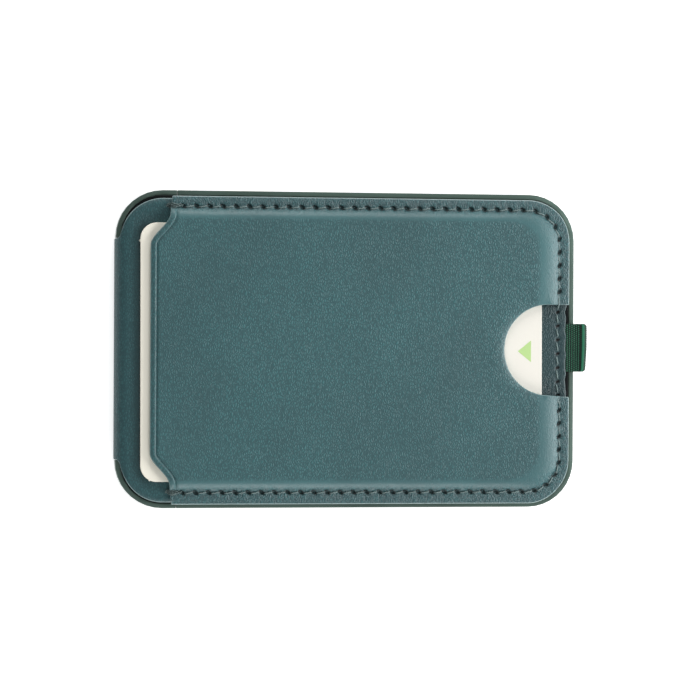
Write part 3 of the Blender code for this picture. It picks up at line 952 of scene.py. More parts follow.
@dataclass
class FrontLeather:
    """The moulded front: a stitched flange, a shoulder, a flat face, a mouth and a thumb notch."""

    low: Array
    high: Array
    corner: float = 9.0
    lean: float = -0.2  # how far the cut outline sits to -Y of the moulded face
    grow: float = 0.2  # how much wider the outline is cut on each long side
    overhang: float = 0.12  # and how much longer at the tab's end
    foot_side: float = 29.35  # from the middle to the shoulder's foot
    foot_end: float = 44.9
    side_shoulder: float = 3.0  # the shoulder's width in plan, along the long sides
    end_shoulder: float = 6.6  # and at the tab's end
    flange_thick: float = 0.7
    face_thick: float = 1.05
    flange_start: float = 4.6  # from the mouth's foremost line back to the flange's cut end
    mouth_straight: float = 21.6  # in Y, where the mouth's straight part ends
    mouth_wide: float = 28.2  # and its S
    mouth_turn: float = 4.1  # how far back the mouth's S has gone where the shoulder begins
    notch: float = 9.6  # the thumb notch's radius
    notch_shift: float = 0.2  # its middle's Y
    notch_edge: float = 9.75  # in Y, where the flange stops beside it
    notch_from_end: float = 4.5  # its middle, back from the end
    crease_inset: float = 1.28  # from the mouth's edge to its creased line
    crease_depth: float = 0.22
    seam_side: float = 29.75
    seam_end: float = 44.95
    seam_radius: float = 7.0
    crease_width: float = 0.2
    lip_fall: float = 0.2  # how far the lip rolls down at the mouth
    notch_fall: float = 0.34  # and the face at the thumb notch
    trough_depth: float = 0.1  # the furrow that the pulled thread makes
    trough_width: float = 0.5
    pit_depth: float = 0.45
    hand_wave: float = 0.02  # the face's slight unevenness

    def mouth(self) -> Array:
        """The mouth's plan line: a cubic S, and a slanting line over the flange.

        Returns:
            Its points, from +Y to -Y.
        """
        y = np.linspace(self.high[1], self.mouth_straight, 56)
        tail = (self.flange_start - self.mouth_turn) * (y - self.mouth_wide) / (self.high[1] - self.mouth_wide)
        x = self.low[0] + self.mouth_turn * smooth(y, self.mouth_straight, self.mouth_wide) + np.maximum(tail, 0)
        half = np.stack([x, y], axis=1)
        return np.concatenate([half, half[::-1] * [1, -1]])

    def outline(self) -> Array:
        """The cut outline.

        Returns:
            Its points, anticlockwise from the flange's lower left end.
        """
        end, side = self.high[0] + self.overhang, self.high[1] + self.grow
        start = self.low[0] + self.flange_start
        lower_corner, upper_corner, *_ = corner_arcs(start, end, side, self.corner)
        parts = [
            lower_corner,
            [(end, -self.notch_edge)],
            self.notch_line(),
            [(end, self.notch_edge)],
            upper_corner,
            [(start, side)],
            self.mouth()[1:-1],
            [(start, -side)],
        ]
        loop = np.concatenate([np.array(p, float) for p in parts])
        loop[:, 1] += self.lean * smooth(np.abs(loop[:, 1]), self.mouth_wide, side)
        return densify(loop, 0.3)

    def notch_line(self) -> Array:
        """The thumb notch's arc, from its lower end to its upper end."""
        return arc((self.high[0] - self.notch_from_end, self.notch_shift), self.notch, 262, 92, 60)

    def seam(self, upper: bool) -> Seam:
        """The flange's seam on one side of the thumb notch, from the mouth to the notch.

        Args:
            upper: whether it is the one at +Y.

        Returns:
            The seam.
        """
        side, end = self.seam_side, self.seam_end
        start = self.low[0] + self.flange_start + 0.5
        bend = arc((end - self.seam_radius, side - self.seam_radius), self.seam_radius, 90, 0, 40)
        path = np.concatenate([[(start, side)], bend, [(end, self.notch_edge + 0.9)]])
        return Seam(path if upper else path * [1, -1])

    def rise(self, plan: Array) -> Array:
        """How far up the shoulder a point is: 0 on the flange, 1 on the face.

        With s the share of the way between the shoulder's foot line and its top line, it is
        (1 - (1 - s) ** 2.7) ** 0.8: nearly upright at the foot, and rolling over into the face.

        Args:
            plan: plan points.

        Returns:
            One share a point.
        """
        x, y = plan.T
        foot = -corner_distance(x, y, self.foot_end, self.foot_side, self.seam_radius)
        crown_end, crown_side = self.foot_end - self.end_shoulder, self.foot_side - self.side_shoulder
        crown = corner_distance(x, y, crown_end, crown_side, self.seam_radius - 2.0)
        inward = np.maximum(foot, 0)
        share = inward / np.maximum(inward + np.maximum(crown, 0), 1e-9)
        return (1 - (1 - share) ** 2.7) ** 0.8 * smooth(foot, -0.1, 0.3)

    def upper(self, plan: Array) -> Array:
        """The upper face: flange and face heights, the mouth's crease and lip, seams and pits.

        Args:
            plan: plan points.

        Returns:
            One height a point.
        """
        foot = self.low[2] + self.flange_thick
        rise = self.rise(plan)
        height = foot + (self.high[2] - foot) * rise
        from_mouth = distance_to(plan, self.mouth())
        crease = np.exp(-(((from_mouth - self.crease_inset) / self.crease_width) ** 2))
        height -= self.crease_depth * crease * smooth(rise, 0.1, 0.6)
        height -= self.lip_fall * (1 - smooth(from_mouth, 0.0, self.crease_inset)) ** 1.5 * rise
        from_notch = distance_to(plan, self.notch_line())
        height -= self.notch_fall * (1 - smooth(from_notch, -0.5, 1.3)) * rise
        for seam in (self.seam(True), self.seam(False)):
            height -= self.trough_depth * np.exp(-((distance_to(plan, seam.path) / self.trough_width) ** 2))
            height -= self.pit_depth * seam.pits(plan)
        x, y = plan.T
        hand = np.sin(0.21 * x + 0.4) * np.sin(0.17 * y + 1.0) + 0.6 * np.sin(0.43 * x + 0.3 * y)
        return height + self.hand_wave * hand * rise

    def lower(self, plan: Array) -> Array:
        """The lower face: flat under the flange, and hollowed for the card under the face."""
        hollow = self.high[2] - self.face_thick - self.low[2]
        return self.low[2] + 0.01 + hollow * self.rise(plan) ** 0.75

    def build(self) -> Object:
        """Builds and dresses the front leather.

        Returns:
            The object.
        """
        mouth_rings = [inset(self.outline(), d) for d in (0.85, 1.0, 1.12, 1.2, 1.28, 1.36, 1.46, 1.6, 1.85, 2.2)]
        near = [ring[ring[:, 0] < self.low[0] + self.flange_start + 1] for ring in mouth_rings]
        seams = (self.seam(True), self.seam(False))
        sheet = TrimmedSheet(
            self.outline(),
            graded(self.low[0], self.high[0] + 1, 0.36, 1.6, 9.5),
            graded(self.low[1] - 1, self.high[1] + 1, 0.36, 1.6, 7.5),
            0.26,
            extra=near + [seam.pit_points() for seam in seams],
        )
        obj = sheet.build("front_leather", self.upper, self.lower)
        plan = vertices_mm(obj)[:, :2]
        outer = vertices_mm(obj)[:, 2] > self.low[2] + 0.25
        rise = self.rise(plan)
        # Folds on the flange, whose troughs the material darkens as painted shade.
        set_field(obj, "crumple", (1 - rise) * 0.8)
        set_field(obj, "taut", 0.85 * smooth(rise, 0.05, 0.4) * (1 - smooth(rise, 0.93, 1.0)))
        set_field(obj, "pit", np.clip(seams[0].pits(plan) + seams[1].pits(plan), 0, 1) * outer)
        # A painted highlight along the cut edge's upper rounding, stronger on the flange.
        near_edge = 1 - smooth(distance_to(plan, self.outline(), closed=True), 0.02, 0.2)
        on_flange = corner_distance(*plan.T, self.high[0], self.high[1], self.corner) > -0.5
        top_corner = smooth(vertices_mm(obj)[:, 2], self.low[2] + 0.4, self.low[2] + 0.6)
        set_field(obj, "cut_edge_highlight", near_edge * np.where(on_flange, 0.8, 0.3) * top_corner)
        dress(obj, finish(Finish.MOULDED_LEATHER))
        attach(obj, "pocket")
        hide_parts("front_shell")
        return obj


@dataclass
class RearLeather:
    """The rear leather with its neck, which bends round the spine and ends as the tongue."""

    low: Array
    high: Array
    spine_low: Array
    spine_high: Array
    tongue_high: Array
    corner: float = 9.0
    fillet: float = 1.1
    trim: float = 0.25  # how much further in its long sides are cut than the flange's
    grow: float = 0.4  # how much further out its corners reach at the spine end
    step_inset: float = 0.42  # from the cut edge to the skived band's end
    notch_crumple: float = 12.5  # half the height of the crumpled patch in the thumb notch
    slack_from: float = 10.5  # in Y, where the notch's drawn-in edge starts
    lean: float = 0.42  # how much further out it is cut on the -Y side
    raised: float = 0.06  # how much thicker it is than the neck
    skive: float = 0.15  # how much thinner its edge is pared
    pit_depth: float = 0.34
    trough_depth: float = 0.08
    trough_width: float = 0.45
    axis_height: float = 3.15  # the cover hinge's height
    end_zone: float = 14.0  # how far in from the left end the fine net runs
    notch_zone: tuple[float, float] = (36.0, 41.0)  # in X, where the thumb notch's patch fades in
    card_shade: tuple[float, ...] = (-46.6, -43.4, -40.0, -36.0)  # where the card's shade comes and goes

    @property
    def bend_x(self) -> float:
        """Returns where the flat leather ends and the bend begins."""
        return self.spine_low[0] + self.spine_high[2] / 2

    @property
    def neutral(self) -> float:
        """Returns the bend's radius at the middle of the leather."""
        return self.spine_high[2] / 2 - (self.high[2] - self.low[2]) / 2

    def slack(self, y: Array) -> Array:
        """How far the edge in the thumb notch is drawn in, with a small wave from the stitches."""
        wave = 0.26 + 0.09 * np.sin(1.7 * y) + 0.05 * np.sin(3.1 * y + 1.0)
        return wave * (1 - smooth(np.abs(y), 8.0, self.slack_from))

    def outline(self) -> Array:
        """The flat cutting pattern: a rounded panel with a neck at its left.

        Returns:
            Its points, anticlockwise.
        """
        left, right, side, r = self.low[0] - self.grow, self.high[0], self.high[1] - self.trim, self.corner
        neck_low, neck_high = self.spine_low[1], self.spine_high[1]
        tongue = self.tongue_high[0] - self.bend_x
        neck_end = self.bend_x - math.pi * self.neutral - tongue
        f = self.fillet
        across = np.linspace(-self.slack_from, self.slack_from, 50)
        # The corner's circle and the fillet's touch from outside, at this angle from the corner's middle.
        up, down = neck_high + f - (side - r), -neck_low + f - (side - r)
        turn_up, turn_down = (180 - math.degrees(math.asin(v / (r + f))) for v in (up, down))
        fillet_up = left + r - math.sqrt((r + f) ** 2 - up**2)
        fillet_down = left + r - math.sqrt((r + f) ** 2 - down**2)
        lower_corner, upper_corner, *_ = corner_arcs(left, right, side, r)
        parts = [
            lower_corner,
            np.stack([right - self.slack(across), across], axis=1),
            upper_corner,
            arc((left + r, side - r), r, 90, turn_up),
            arc((fillet_up, neck_high + f), f, turn_up - 180, -90, 12),
            [(neck_end, neck_high), (neck_end, neck_low)],
            arc((fillet_down, neck_low - f), f, 90, 180 - turn_down, 12),
            arc((left + r, r - side), r, 360 - turn_down, 270),
        ]
        loop = np.concatenate([np.array(p, float) for p in parts])
        loop[:, 1] -= self.lean * smooth(-loop[:, 1], 25.5, side)
        return densify(loop, 0.35)

    def wrap(self, points: Array) -> Array:
        """Bends the flat pattern: past the bend line x becomes an angle round the spine's middle.

        A point's height above the spine's middle is its radius. After half a turn the leather
        runs straight back, as the tongue.

        Args:
            points: the flat pattern's points.

        Returns:
            The bent points.
        """
        x, y, z = points.T
        middle = self.spine_high[2] / 2
        past = np.maximum(self.bend_x - x, 0)
        angle = np.minimum(past / self.neutral, math.pi)
        beyond = np.maximum(past - math.pi * self.neutral, 0)
        radius = z - middle
        bent_x = self.bend_x - radius * np.sin(angle) + beyond
        bent_z = middle + radius * np.cos(angle)
        return np.column_stack([np.where(past > 0, bent_x, x), y, np.where(past > 0, bent_z, z)])

    def tab_seam(self, seam_x: float, half: float) -> Seam:
        """The seam across the thumb notch, whose end stitches climb onto the flange.

        Args:
            seam_x: where it crosses the notch.
            half: half its length.

        Returns:
            The seam.
        """
        up = np.array([(seam_x + 0.2, half + 1.9), (seam_x + 0.2, half + 0.7), (seam_x + 0.1, half - 0.7)])
        line = np.concatenate([up, up[::-1] * [1, -1]])
        return Seam(line, pitch=2.95, first=2.75, slant=-60, slit=0.46, slit_width=0.3)

    def upper(self, plan: Array) -> Array:
        """The grain side: a skived band along the edge at the left corners, and needle pits.

        Args:
            plan: points of the flat pattern.

        Returns:
            One height a point.
        """
        height = self.high[2] + self.raised * smooth(plan[:, 0], self.bend_x - 0.6, self.bend_x + 0.6)
        depth = distance_to(plan, self.outline(), closed=True)
        left = 1 - smooth(plan[:, 0], self.low[0] + self.end_zone - 4, self.low[0] + self.end_zone)
        corner = smooth(np.abs(plan[:, 1]), self.spine_high[1] + 0.6, self.spine_high[1] + 2.5)
        height -= self.skive * (1 - smooth(depth, self.step_inset - 0.12, self.step_inset + 0.12)) * left * corner
        trough = np.exp(-((distance_to(plan, self.seam.path) / self.trough_width) ** 2))
        return height - self.pit_depth * self.seam.pits(plan) - self.trough_depth * trough

    def lower(self, plan: Array) -> Array:
        """The flesh side, flat."""
        return np.full(len(plan), self.low[2])

    def build(self, seam_x: float, half: float) -> Object:
        """Builds the leather round the spine.

        Args:
            seam_x: where the tab's seam crosses the thumb notch.
            half: half of that seam's length.

        Returns:
            The object, which bends between the end strip and the pocket.
        """
        self.seam = self.tab_seam(seam_x, half)
        outline = self.outline()
        neck_end = outline[:, 0].min()
        ends = (neck_end, self.bend_x + 0.5, self.low[0] + self.end_zone, 30, self.high[0])
        lines_x = np.concatenate([np.arange(*span) for span in zip(ends, ends[1:], (0.3, 0.6, 4.0, 0.6))])
        rings = [inset(outline, d) for d in (0.3, 0.36, 0.42, 0.48, 0.54, 0.7)]
        near = [ring[ring[:, 0] < ends[2]] for ring in rings]
        sheet = TrimmedSheet(
            outline, lines_x, np.arange(-self.high[1], self.high[1], 0.8), 0.3, extra=near + [self.seam.pit_points()]
        )
        obj = sheet.build("rear_leather_and_spine", self.upper, self.lower, self.wrap)
        points = vertices_mm(obj)
        plan = points[:, :2]
        grain_side = points[:, 2] > self.low[2] + 0.3
        # The thumb notch's patch is crumpled, and darkened as painted shade for its recess.
        in_notch = (1 - smooth(np.abs(plan[:, 1]), 9.0, self.notch_crumple)) * smooth(plan[:, 0], *self.notch_zone)
        pulled = 0.12 + 0.6 * smooth(np.abs(plan[:, 1]), 3.5, 8.5)
        set_field(obj, "crumple", in_notch * pulled + 0.06)
        # The painted shadow of the card and pocket on the leather left of the card, added to the notch's painted
        # shade.
        beside_card = smooth(plan[:, 0], *self.card_shade[:2]) * (1 - smooth(plan[:, 0], *self.card_shade[2:]))
        set_field(obj, "shade", np.clip(in_notch + beside_card * (1 - smooth(np.abs(plan[:, 1]), 23, 30)), 0, 1))
        set_field(obj, "pit", self.seam.pits(plan) * grain_side)
        # A painted highlight along the cut edge's upper rounding, fading out towards the thumb notch.
        near_edge = 1 - smooth(distance_to(plan, outline, closed=True), 0.02, 0.2)
        top_corner = smooth(points[:, 2], self.high[2] - 0.4, self.high[2] - 0.2)
        set_field(obj, "cut_edge_highlight", near_edge * (0.75 - 0.7 * smooth(plan[:, 0], 0, 30)) * top_corner)
        dress(obj, finish(Finish.FLAT_LEATHER))
        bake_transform(obj)
        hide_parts("rear_leather", "hinge_spine", "hinge_tongue")
        return obj


# ---------------------------------------------------------------- trims


@dataclass
class Stitching:
    """The three runs of thread that show."""

    front: FrontLeather
    rear: RearLeather
    strand: float = 0.125  # a back-tack strand's radius

    def level(self, height: float) -> Callable[[Array], Array]:
        """Returns a flat leather's height function."""
        return lambda plan: np.full(len(plan), height)

    def over_edge(self, plan: Array) -> Array:
        """The height under the tab's seam: the rear leather's, and the flange's past its edge.

        Args:
            plan: plan points.

        Returns:
            One height a point.
        """
        rear, flange = self.rear.high[2] - 0.02, self.front.low[2] + self.front.flange_thick
        edge = self.front.notch_edge
        return rear + (flange - rear) * smooth(np.abs(plan[:, 1]), edge - 0.45, edge - 0.05)

    def back_tacks(self) -> list[Object]:
        """The doubled stitches that lock each flange seam over the flange's cut end.

        Each strand is half an ellipse in height from a hole in the rear leather to one in the
        flange, bowed aside by its own share, so that the strands lie beside and over each other.

        Returns:
            The strands.
        """
        made = []
        start = self.front.low[0] + self.front.flange_start
        low, high = self.rear.high[2] - 0.15, self.front.low[2] + self.front.flange_thick - 0.25
        t = np.linspace(0, 1, 44)
        # Each strand's ends behind and ahead of the cut end, its bow, its crest and its skew.
        plies = (
            (-1.5, 2.1, 0.0, 0.3, 0.0),
            (-1.45, 2.15, 0.35, 0.26, 0.5),
            (-0.9, 1.35, -0.4, 0.36, 0.3),
            (-1.3, 1.2, 0.55, 0.42, -0.4),
            (-0.6, 2.2, -0.2, 0.46, 0.45),
            (-1.1, 0.9, 0.15, 0.5, -0.7),
            (0.1, 1.7, 0.3, 0.4, -0.6),
            (-0.4, 1.3, -0.55, 0.34, 0.6),
        )
        for side in (1, -1):
            y = side * self.front.seam_side
            for number, (back, ahead, bow, crest, skew) in enumerate(plies):
                x = start + back + (ahead - back) * t
                aside = y + bow * np.sin(math.pi * t) + skew * (t - 0.5) + 0.04 * np.sin(23 * t + number)
                ground = low + (high - low) * smooth(x, start - 0.5, start + 0.15)
                z = ground + crest * np.sin(math.pi * t) ** 0.6
                turn = np.arange(8) * 2 * math.pi / 8
                ply = np.cos(turn[None] - (x * 4.8 + number)[:, None]) ** 2
                name = f"back_tack_{'upper' if side > 0 else 'lower'}_{number + 1}"
                obj = tube(name, np.column_stack([x, aside, z]), self.strand * (0.8 + 0.25 * ply), 8)
                # Painted shade: the whole tangle darker, and darkest in the furrows between plies.
                set_field(obj, "ply", np.clip(1.35 - ply, 0, 1).reshape(-1) * 0.9)
                dress(obj, finish(Finish.THREAD))
                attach(obj, "pocket")
                made.append(obj)
        return made

    def build(self) -> list[Object]:
        """Builds and dresses the threads.

        Returns:
            The threads and the back-tacks' strands.
        """
        flange_top = self.front.low[2] + self.front.flange_thick - 0.1
        runs = [
            ("flange_thread_upper", self.front.seam(True), self.level(flange_top), "seam_thread_upper"),
            ("flange_thread_lower", self.front.seam(False), self.level(flange_top), "seam_thread_lower"),
            ("tab_seam_thread", self.rear.seam, self.over_edge, "tab_thread"),
        ]
        made = []
        for name, seam, height, node in runs:
            obj = seam.thread(name, height)
            dress(obj, finish(Finish.THREAD))
            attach(obj, "pocket")
            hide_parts(node)
            made.append(obj)
        return made + self.back_tacks()


@dataclass
class PullTab:
    """The grosgrain loop: a ribbon folded on itself, with ribs across its length."""

    low: Array
    high: Array
    rib: float = 0.5
    rib_height: float = 0.13
    thick: float = 0.24
    neck: float = 48.9  # where the loop leaves the leathers
    skew: float = 0.32  # how far the fold's -Y end stands back
    bead: float = 0.42  # the weft's pitch along a rib
    hold: float = 0.2  # from the middle to each layer, where the leathers grip the loop

    def profile(self) -> tuple[Array, Array]:
        """The ribbon's middle line, from the lower layer round the fold to the upper one.

        Returns:
            Its points in X and Z, evenly spaced, and the distance along it.
        """
        layer = self.thick / 2
        bend_radius = (self.high[2] - self.low[2]) / 2 - layer
        middle = (self.high[2] + self.low[2]) / 2
        centre = (self.high[0] - bend_radius - layer, middle)
        held_low, held_high = middle - self.hold, middle + self.hold
        corners = np.concatenate(
            [
                [(self.low[0], held_low), (self.neck, held_low)],
                arc(centre, bend_radius, -115, 115, 30),
                [(self.neck, held_high), (self.low[0], held_high)],
            ]
        )
        step = np.linalg.norm(np.diff(corners, axis=0), axis=1)
        along = np.concatenate([[0], np.cumsum(step)])
        even = np.arange(0, along[-1], 0.08)
        return np.stack([np.interp(even, along, corners[:, k]) for k in range(2)], axis=1), even

    def build(self) -> Object:
        """Builds the ribbon: both faces follow the middle line, raised by round ribs.

        A rib is a half sine across, and along Y the weft shows as small beads on it. Near the
        fold one band is smooth, between two furrows.

        Returns:
            The object.
        """
        line, along = self.profile()
        run = np.gradient(line, axis=0)
        run /= np.linalg.norm(run, axis=1)[:, None]
        normal = np.stack([run[:, 1], -run[:, 0]], axis=1)
        y = np.linspace(self.low[1], self.high[1], 140)
        ridge = np.abs(np.sin(math.pi * along / self.rib))
        beads = 0.66 + 0.34 * np.cos(2 * math.pi * (y[None] / self.bead + (along / self.rib).astype(int)[:, None] / 2))
        from_fold = self.high[0] - line[:, 0]
        # The smooth band is 0.32 to each side of its middle, and the furrows beside it are thin bells.
        smooth_band = np.exp(-(((from_fold - 0.82) / 0.32) ** 4))[:, None]
        gap = 0.8 * np.exp(-(((from_fold - 1.3) / 0.1) ** 2)) + 0.5 * np.exp(-(((from_fold - 0.36) / 0.07) ** 2))
        beads = beads * (1 - smooth_band) + smooth_band
        ridge = np.maximum(ridge, smooth_band[:, 0]) * (1 - np.minimum(gap, 1))
        lift = self.rib_height * ridge[:, None] * beads
        selvedge = 1 - 0.6 * np.exp(-(((np.abs(y - y.mean()) - np.ptp(y) / 2) / 0.18) ** 2))
        half = (self.thick / 2 + lift) * selvedge[None]
        toward = smooth(line[:, 0], self.neck, self.high[0])[:, None]
        off = (y - y.mean()) / (np.ptp(y) / 2)
        back = toward * (self.skew * np.maximum(-off, 0) + 0.45 * np.abs(off) ** 24)[None]
        faces_at = []
        for sign in (1, -1):
            x = line[:, :1] + sign * normal[:, :1] * half - back
            z = line[:, 1:] + sign * normal[:, 1:] * half
            faces_at.append(np.stack([x, np.broadcast_to(y, x.shape), z], axis=-1))
        ring = np.concatenate([faces_at[0], faces_at[1][:, ::-1]], axis=1)
        count = ring.shape[1]
        faces = grid_faces(len(line), count).tolist()
        last = (len(line) - 1) * count
        for start in (0, last):
            side = np.arange(len(y) - 1)
            faces += np.stack(
                [start + side, start + side + 1, start + count - 2 - side, start + count - 1 - side], axis=1
            ).tolist()
        obj = make_piece("grosgrain_loop", ring.reshape(-1, 3), faces, 80)
        # Painted shade: dark in the furrows between ribs and weft beads, and in the two furrows by the fold.
        furrow = np.clip(1.45 - 1.45 * ridge[:, None] * beads, 0, 1)
        shade = np.concatenate([furrow, furrow[:, ::-1]], axis=1)
        set_field(obj, "ply", shade.reshape(-1))
        dress(obj, finish(Finish.RIBBON))
        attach(obj, "pocket")
        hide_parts("pull_tab")
        return obj


@dataclass
class InsertCard:
    """The paperboard card with its plain printed pointer."""

    low: Array
    high: Array
    length: float = 85.0
    width: float = 53.75
    corner: float = 3.4
    shift: tuple[float, float] = (0.0, -0.2)
    turn: float = 0.2  # degrees
    nick: float = 0.28
    nick_from_corner: float = 3.75
    pointer_y: float = -0.1
    pointer_tip: float = 35.95
    pointer_length: float = 2.85
    pointer_half: float = 2.3

    def build(self) -> list[Object]:
        """Builds the card: a rounded rectangle with a die-cut nick at its left end and one at a corner.

        Returns:
            The card and its printed pointer.
        """
        half_l, half_w, r = self.length / 2, self.width / 2, self.corner
        centre = (self.low + self.high)[:2] / 2 + self.shift
        y = half_w - self.nick_from_corner
        end_nick = [(-half_l, y + 0.35), (-half_l - self.nick, y), (-half_l, y - 0.3)]
        corner_nick = arc((r - half_l, r - half_w), r + 0.7 * self.nick, 243, 245, 2)
        parts = [
            *corner_arcs(-half_l, half_l, half_w, r)[:3],
            end_nick,
            arc((r - half_l, r - half_w), r, 180, 240, 16),
            corner_nick,
            arc((r - half_l, r - half_w), r, 248, 270, 8),
        ]
        outline = densify(np.concatenate([np.array(p, float) for p in parts]), 0.6)
        angle = math.radians(self.turn)
        spin = np.array([[math.cos(angle), math.sin(angle)], [-math.sin(angle), math.cos(angle)]])
        outline = outline @ spin + centre
        lines = np.arange(-50, 50, 4.0)
        sheet = TrimmedSheet(outline, lines, lines, 0.08, rings=(0.02, 0.05, 0.08, 0.3))
        upper, lower = (lambda plan, z=z: np.full(len(plan), z) for z in (self.high[2], self.low[2]))
        card = sheet.build("paper_card", upper, lower)
        # Painted shade: the card darkens from X 10 mm to 26 mm, towards the thumb notch, where the right-hand box
        # lights it most.
        set_field(card, "painted_shade_ramp", smooth(vertices_mm(card)[:, 0], 10.0, 26.0))
        dress(card, finish(Finish.CARD))
        back, y = self.pointer_tip + self.pointer_length, self.pointer_y
        pointer = np.array([(self.pointer_tip, y), (back, y - self.pointer_half), (back, y + self.pointer_half)])
        ink = [np.column_stack([pointer, np.full(3, self.high[2] + z)]) for z in (0.002, 0.014)]
        faces = [[2, 1, 0], [3, 4, 5], [0, 1, 4, 3], [1, 2, 5, 4], [2, 0, 3, 5]]
        mark = make_piece("printed_pointer", np.concatenate(ink), faces, 20)
        material, tree, bsdf = new_material("green_ink", Roughness=0.5)
        where = object_space(tree)
        speck = noise(tree, where, 3000.0)
        tone = toward(tree, linear("#BADA92"), linear("#A9CB80"), speck, 0.2)
        tree.links.new(tone, bsdf.inputs["Base Color"])
        dress(mark, material)
        for obj in (card, mark):
            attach(obj, "card")
        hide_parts("insert_card")
        return [card, mark]


@dataclass
class FrameShell:
    """The moulded frame in its two parts, with their edges rounded."""

    bevel: float = 0.28

    def build(self) -> list[Object]:
        """Copies each frame node, joins its triangles' corners, and rounds its edges.

        Returns:
            The two mouldings.
        """
        made = []
        for node, body in (("base_frame", "base"), ("end_frame", "end_strip")):
            obj = bpy.data.objects.new(f"{node}_moulding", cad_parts[node].data.copy())
            bpy.context.scene.collection.objects.link(obj)
            work = bmesh.new()
            work.from_mesh(obj.data)
            bmesh.ops.remove_doubles(work, verts=work.verts, dist=1e-6)
            bmesh.ops.recalc_face_normals(work, faces=work.faces)
            work.to_mesh(obj.data)
            work.free()
            obj.data.shade_smooth()
            bevel = obj.modifiers.new("moulded_radius", "BEVEL")
            bevel.width = self.bevel * MM
            bevel.segments = 3
            bevel.limit_method = "ANGLE"
            bevel.angle_limit = math.radians(50)
            bevel.harden_normals = True
            dress(obj, finish(Finish.POLYMER))
            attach(obj, body)
            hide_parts(node)
            made.append(obj)
        return made


@dataclass
class Linings:
    """The microfibre across base and strip, which is the strip's hinge, and the plain backings."""

    base_low: Array
    base_high: Array
    strip_low: Array
    strip_high: Array
    corner: float = 8.45
    fold_zone: float = 2.0  # how far the fine net reaches on each side of the fold
    fold_reach: float = 0.7  # how far a bend at the fold would reach; the lining is built flat

    def build(self) -> list[Object]:
        """Builds the one lining across the fold, and dresses the flat sheets.

        Returns:
            The lining.
        """
        left, right, side = self.strip_low[0], self.base_high[0], self.base_high[1]
        outline = densify(np.concatenate(corner_arcs(left, right, side, self.corner)), 0.8)
        fold = (self.strip_high[0] + self.base_low[0]) / 2
        near, far = fold - self.fold_zone, fold + self.fold_zone
        lines_x = np.concatenate([np.arange(left, near, 3.0), np.arange(near, far, 0.2), np.arange(far, right, 3.0)])
        sheet = TrimmedSheet(outline, lines_x, np.arange(-side, side, 2.0), 0.1, rings=(0.05, 0.1, 0.3))
        obj = sheet.build(
            "fold_lining",
            lambda p: np.full(len(p), self.base_high[2]),
            lambda p: np.full(len(p), self.base_low[2]),
        )
        dress(obj, finish(Finish.LINING))
        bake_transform(obj)
        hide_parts("base_lining", "end_lining")
        dress(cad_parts["rear_lining"], finish(Finish.LINING))
        dress(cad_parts["base_back_sheet"], finish(Finish.BACK_LEATHER))
        return [obj]


def dress_hidden() -> None:
    """Gives the pieces inside their own finishes."""
    choices = {
        "magnet": Finish.NICKEL,
        "shield_ring": Finish.STEEL,
        "strike_plate": Finish.STEEL,
        "rear_board": Finish.FIBRE,
        "rfid_foil": Finish.FOIL,
    }
    for node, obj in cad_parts.items():
        for word, choice in choices.items():
            if word in node:
                dress(obj, finish(choice))


# ---------------------------------------------------------------- studio


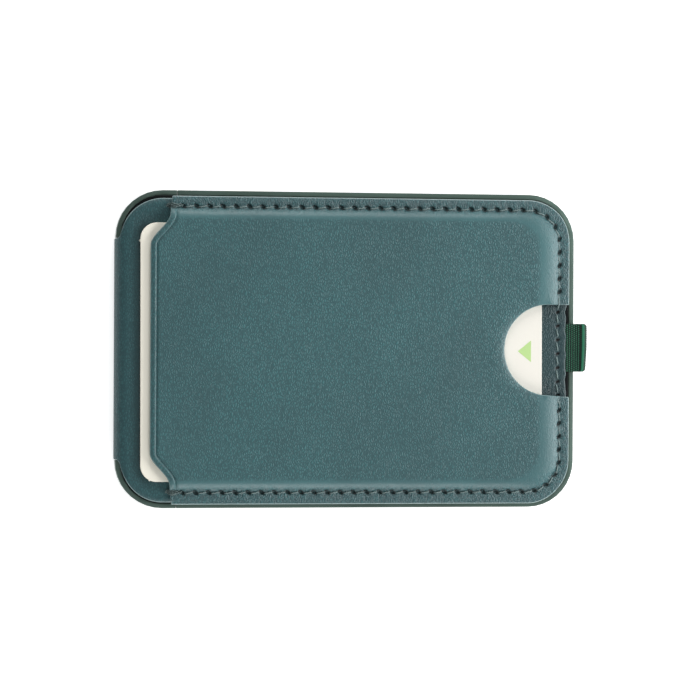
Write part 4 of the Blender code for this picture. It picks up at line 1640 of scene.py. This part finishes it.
@dataclass
class Studio:
    """A pale floor, soft boxes above and to the right, and the camera."""

    distance: float = 0.606
    tilt: float = 9.0  # degrees from straight above, towards the spine end
    roll: float = 0.27  # degrees, about the line of sight
    sky: float = 0.31  # the world's strength
    lens: float = 147.3
    aim: tuple[float, float, float] = (0.00105, 0.0, 0.0)

    def camera(self) -> None:
        """Places the camera on a line tilted from the vertical, looking at the aim point."""
        data = bpy.data.cameras.new("camera")
        data.lens = self.lens
        data.sensor_width = 36.0
        data.clip_start = 0.01
        camera = bpy.data.objects.new("camera", data)
        tilt = math.radians(self.tilt)
        turn = Matrix.Rotation(-tilt, 4, "Y") @ Matrix.Rotation(math.radians(self.roll), 4, "Z")
        back = Vector((-math.sin(tilt), 0, math.cos(tilt))) * self.distance
        camera.matrix_world = Matrix.Translation(Vector(self.aim) + back) @ turn
        bpy.context.scene.collection.objects.link(camera)
        bpy.context.scene.camera = camera

    def light(self, name: str, place: tuple, size: float, power: float) -> None:
        """Adds one square soft box that faces the origin.

        Args:
            name: the light's name.
            place: where it stands, in metres.
            size: its side, in metres.
            power: its power, in watts.
        """
        data = bpy.data.lights.new(name, "AREA")
        data.size = size
        data.energy = power
        obj = bpy.data.objects.new(name, data)
        obj.location = place
        obj.rotation_euler = (-Vector(place)).to_track_quat("-Z", "Y").to_euler()
        bpy.context.scene.collection.objects.link(obj)

    def floor(self) -> None:
        """Adds the floor, just under what the holder rests on: a lit white table."""
        points = np.array([(-1500, -1500, -0.05), (1500, -1500, -0.05), (1500, 1500, -0.05), (-1500, 1500, -0.05)])
        floor = make_piece("floor", points, [[0, 1, 2, 3]])
        white = (0.9, 0.9, 0.9, 1)
        material, *_ = new_material(
            "floor_white", Roughness=0.9, Base_Color=white, Emission_Color=(1, 1, 1, 1), Emission_Strength=0.6
        )
        dress(floor, material)

    def build(self) -> None:
        """Sets up floor, light and camera."""
        world = bpy.data.worlds.new("studio")
        bpy.context.scene.world = world
        world.use_nodes = True
        background = world.node_tree.nodes["Background"].inputs
        background["Color"].default_value = (1, 1, 1, 1)
        background["Strength"].default_value = self.sky
        bpy.context.scene.view_settings.view_transform = "Standard"
        self.floor()
        self.light("right_box", (0.5, 0.03, 0.2), 0.42, 3.5)
        self.light("far_box", (0.0, 0.54, 0.25), 0.26, 1.8)
        self.light("near_box", (0.03, -0.54, 0.24), 0.26, 1.9)
        self.camera()


def clear_defaults() -> None:
    """Removes the start-up scene's own cube, camera and light."""
    for name in ("Cube", "Camera", "Light"):
        if name in bpy.data.objects:
            bpy.data.objects.remove(bpy.data.objects[name])


def main() -> None:
    """Builds every piece in order, and reports each."""
    logging.basicConfig(level=logging.INFO, format="%(message)s", stream=sys.stdout)
    clear_defaults()
    front = FrontLeather(*box_mm("front_shell"))
    rear = RearLeather(*box_mm("rear_leather"), *box_mm("hinge_spine"), box_mm("hinge_tongue")[1])
    tab_low, tab_high = box_mm("tab_thread")
    made = [front.build(), rear.build((tab_low[0] + tab_high[0]) / 2, tab_high[1])]
    made += Stitching(front, rear).build()
    made.append(PullTab(*box_mm("pull_tab")).build())
    made += InsertCard(*box_mm("insert_card")).build()
    made += FrameShell().build()
    made += Linings(*box_mm("base_lining"), *box_mm("end_lining")).build()
    dress_hidden()
    for obj in made:
        LOG.info("%s: %d faces", obj.name, len(obj.data.polygons))
    Studio().build()


if __name__ == "__main__":
    main()
